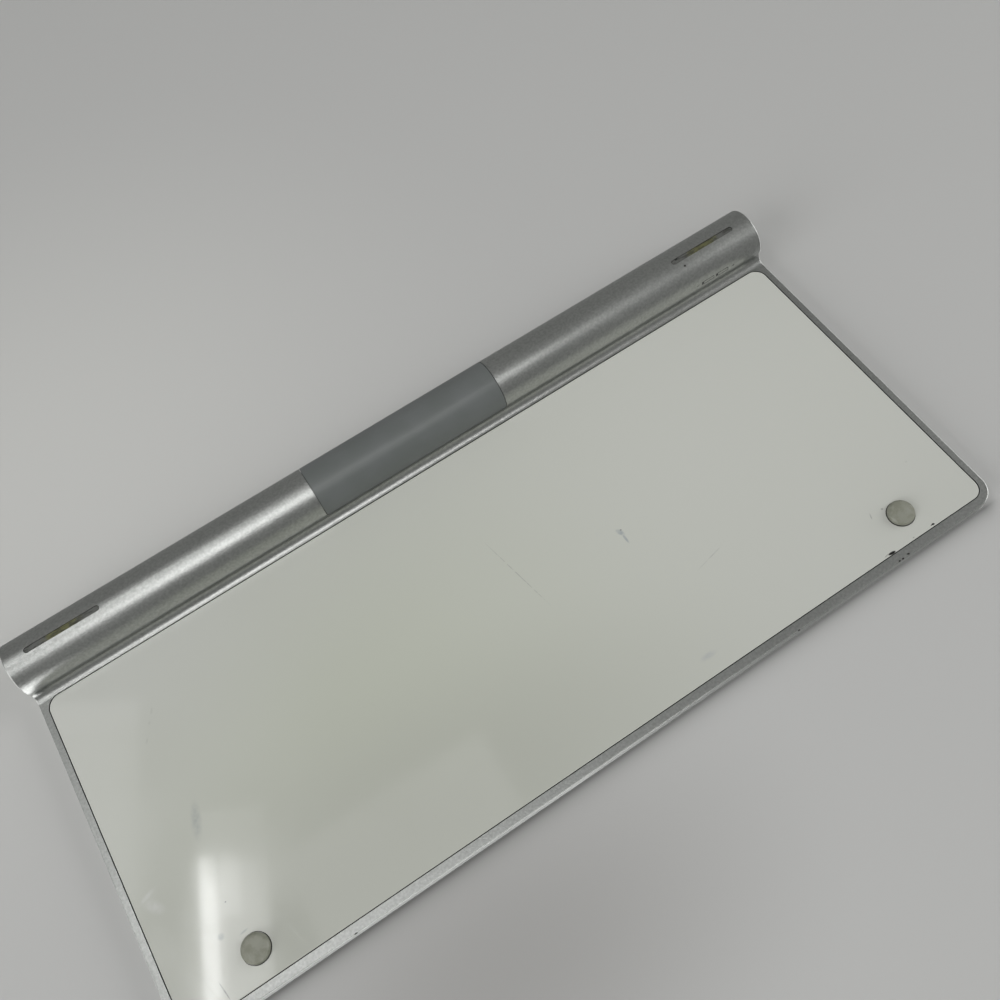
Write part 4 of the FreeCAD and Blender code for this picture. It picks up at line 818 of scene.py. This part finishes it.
def room_pale():
    """A plain pale wall that looks the same all round."""
    finish = Finish("room_pale", (0, 0, 0), roughness=1.0, Specular_IOR_Level=0.0,
                    Emission_Color=ROOM_WHITE, Emission_Strength=1.0)
    return finish.material


def scenery(name, shape, material):
    """Adds a surface that the camera sees, and that hides nothing from the light or from reflections."""
    mesh = bpy.data.meshes.new(name)
    shape.to_mesh(mesh)
    shape.free()
    mesh.materials.append(material)
    sheet = bpy.data.objects.new(name, mesh)
    bpy.context.collection.objects.link(sheet)
    sheet.visible_shadow = False
    sheet.visible_diffuse = False
    sheet.visible_glossy = False


def flat_surface(name, reach, place, material):
    """A flat square that reaches so many metres each way from its middle."""
    shape = bmesh.new()
    bmesh.ops.create_grid(shape, x_segments=1, y_segments=1, size=reach)
    shape.transform(place)
    scenery(name, shape, material)


def round_wall(name, radius, material):
    """A wall far round the object, seen from inside."""
    shape = bmesh.new()
    bmesh.ops.create_icosphere(shape, subdivisions=4, radius=radius)
    bmesh.ops.reverse_faces(shape, faces=shape.faces)
    scenery(name, shape, material)


# The desk lies under the object. The table lies on the keys' side, for the view of the underside.
desk_pale = Finish("desk_pale", DESK_WHITE, roughness=0.6, Specular_IOR_Level=0.2)
SHEET_CLEARANCE = 0.1
over_caps = Vector(BOARD_MIDDLE) + Vector((0, 0, CAP_TOP + SHEET_CLEARANCE))
desk_place = Matrix.Translation((0, 0, -SHEET_CLEARANCE * MM))
table_place = BOARD @ Matrix.Translation(over_caps) @ Matrix.Scale(1 / MM, 4)
flat_surface("desk", 4.0, desk_place, one_sided(desk_pale, True))
flat_surface("table", 2.5, table_place, one_sided(table_pale(), False))
round_wall("pale_room", 2.4, room_pale())


def lamp(name, place, target, width, height, brightness, along=(0, 1, 0)):
    """A soft rectangular lamp that faces a point, in board millimetres, its height along a direction.

    Its brightness is how light it would look in a mirror, where 1 is white.
    """
    light = bpy.data.lights.new(name, "AREA")
    light.shape = "RECTANGLE"
    light.size = width
    light.size_y = height
    light.energy = brightness * math.pi * width * height
    holder = bpy.data.objects.new(name, light)
    start, end = BOARD @ Vector(place), BOARD @ Vector(target)
    back = (start - end).normalized()
    upright = BOARD.to_3x3() @ Vector(along)
    upright = (upright - upright.dot(back) * back).normalized()
    turn = Matrix((upright.cross(back), upright, back)).transposed()
    holder.matrix_world = Matrix.Translation(start) @ turn.to_4x4()
    bpy.context.collection.objects.link(holder)


# Below, where the photograph's light comes from: a large soft lamp straight over the underside,
# window light in four strips, which the gloss panel mirrors, two lamps that the rims mirror, and
# two to the left and right as the photograph has them
WINDOW_ALONG = (0.383, -0.924, 0)
lamp("soft_over_underside", (110, -430, -1025), (0, -40, 0), 0.55, 0.75, 1.9, along=(0.88, 0.47, 0))
lamp("window_blind", (377, 96, -930), (110, -90, 0), 0.079, 0.21, 3.1, along=WINDOW_ALONG)
lamp("window_blind_top", (324, 223, -930), (110, -90, 0), 0.079, 0.056, 0.8, along=WINDOW_ALONG)
lamp("window_gap", (400, 115, -925), (110, -90, 0), 0.019, 0.21, 9.5, along=WINDOW_ALONG)
lamp("window_gap_edge", (350, 170, -926), (110, -90, 0), 0.022, 0.07, 2.4, along=WINDOW_ALONG)
lamp("beside_window", (530, 330, -1000), (139, -60, 0), 0.16, 0.40, 1.0, along=WINDOW_ALONG)
lamp("over_front_rim", (160, 67, -1050), (30, -120, 0), 0.30, 0.25, 0.8)
lamp("left_side", (1850, -450, -880), BOARD_MIDDLE, 1.4, 1.4, 2.8)
lamp("right_side", (-1900, -450, -850), BOARD_MIDDLE, 1.4, 1.4, 2.7)

# Above, for the keys
lamp("before_keys", (300, -1200, 900), BOARD_MIDDLE, 1.4, 1.4, 2.2)
lamp("left_of_keys", (-1250, 100, 750), BOARD_MIDDLE, 1.2, 1.2, 2.0)
lamp("right_of_keys", (1250, 100, 750), BOARD_MIDDLE, 1.2, 1.2, 1.6)

world = bpy.data.worlds.new("pale_room")
bpy.context.scene.world = world
world.use_nodes = True
background = world.node_tree.nodes["Background"]
background.inputs["Color"].default_value = (0.99, 1.0, 0.98, 1.0)
background.inputs["Strength"].default_value = 0.24

# The photograph's viewpoint, in board millimetres, its roll in degrees, and its focal length as a
# share of the picture's width
CAMERA_PLACE = (36.9, -176.1, -294.1)
CAMERA_AIM = (-14.7, -35.4, 0.0)
CAMERA_ROLL = 36.2
FOCAL_SHARE = 1.0177
SENSOR_WIDTH = 36.0

camera = bpy.data.cameras.new("camera")
camera.sensor_width = SENSOR_WIDTH
camera.lens = SENSOR_WIDTH * FOCAL_SHARE
camera.clip_start = 0.01
viewer = bpy.data.objects.new("camera", camera)
eye, aim = BOARD @ Vector(CAMERA_PLACE), BOARD @ Vector(CAMERA_AIM)
back = (eye - aim).normalized()
board_rear = BOARD.to_3x3() @ Vector((0, 1, 0))
upright = (board_rear - board_rear.dot(back) * back).normalized()
side = upright.cross(back)
level = Matrix((side, upright, back)).transposed().to_4x4()
roll = Matrix.Rotation(math.radians(-CAMERA_ROLL), 4, "Z")
viewer.matrix_world = Matrix.Translation(eye) @ level @ roll
bpy.context.collection.objects.link(viewer)
bpy.context.scene.camera = viewer
bpy.context.scene.view_settings.view_transform = "Standard"
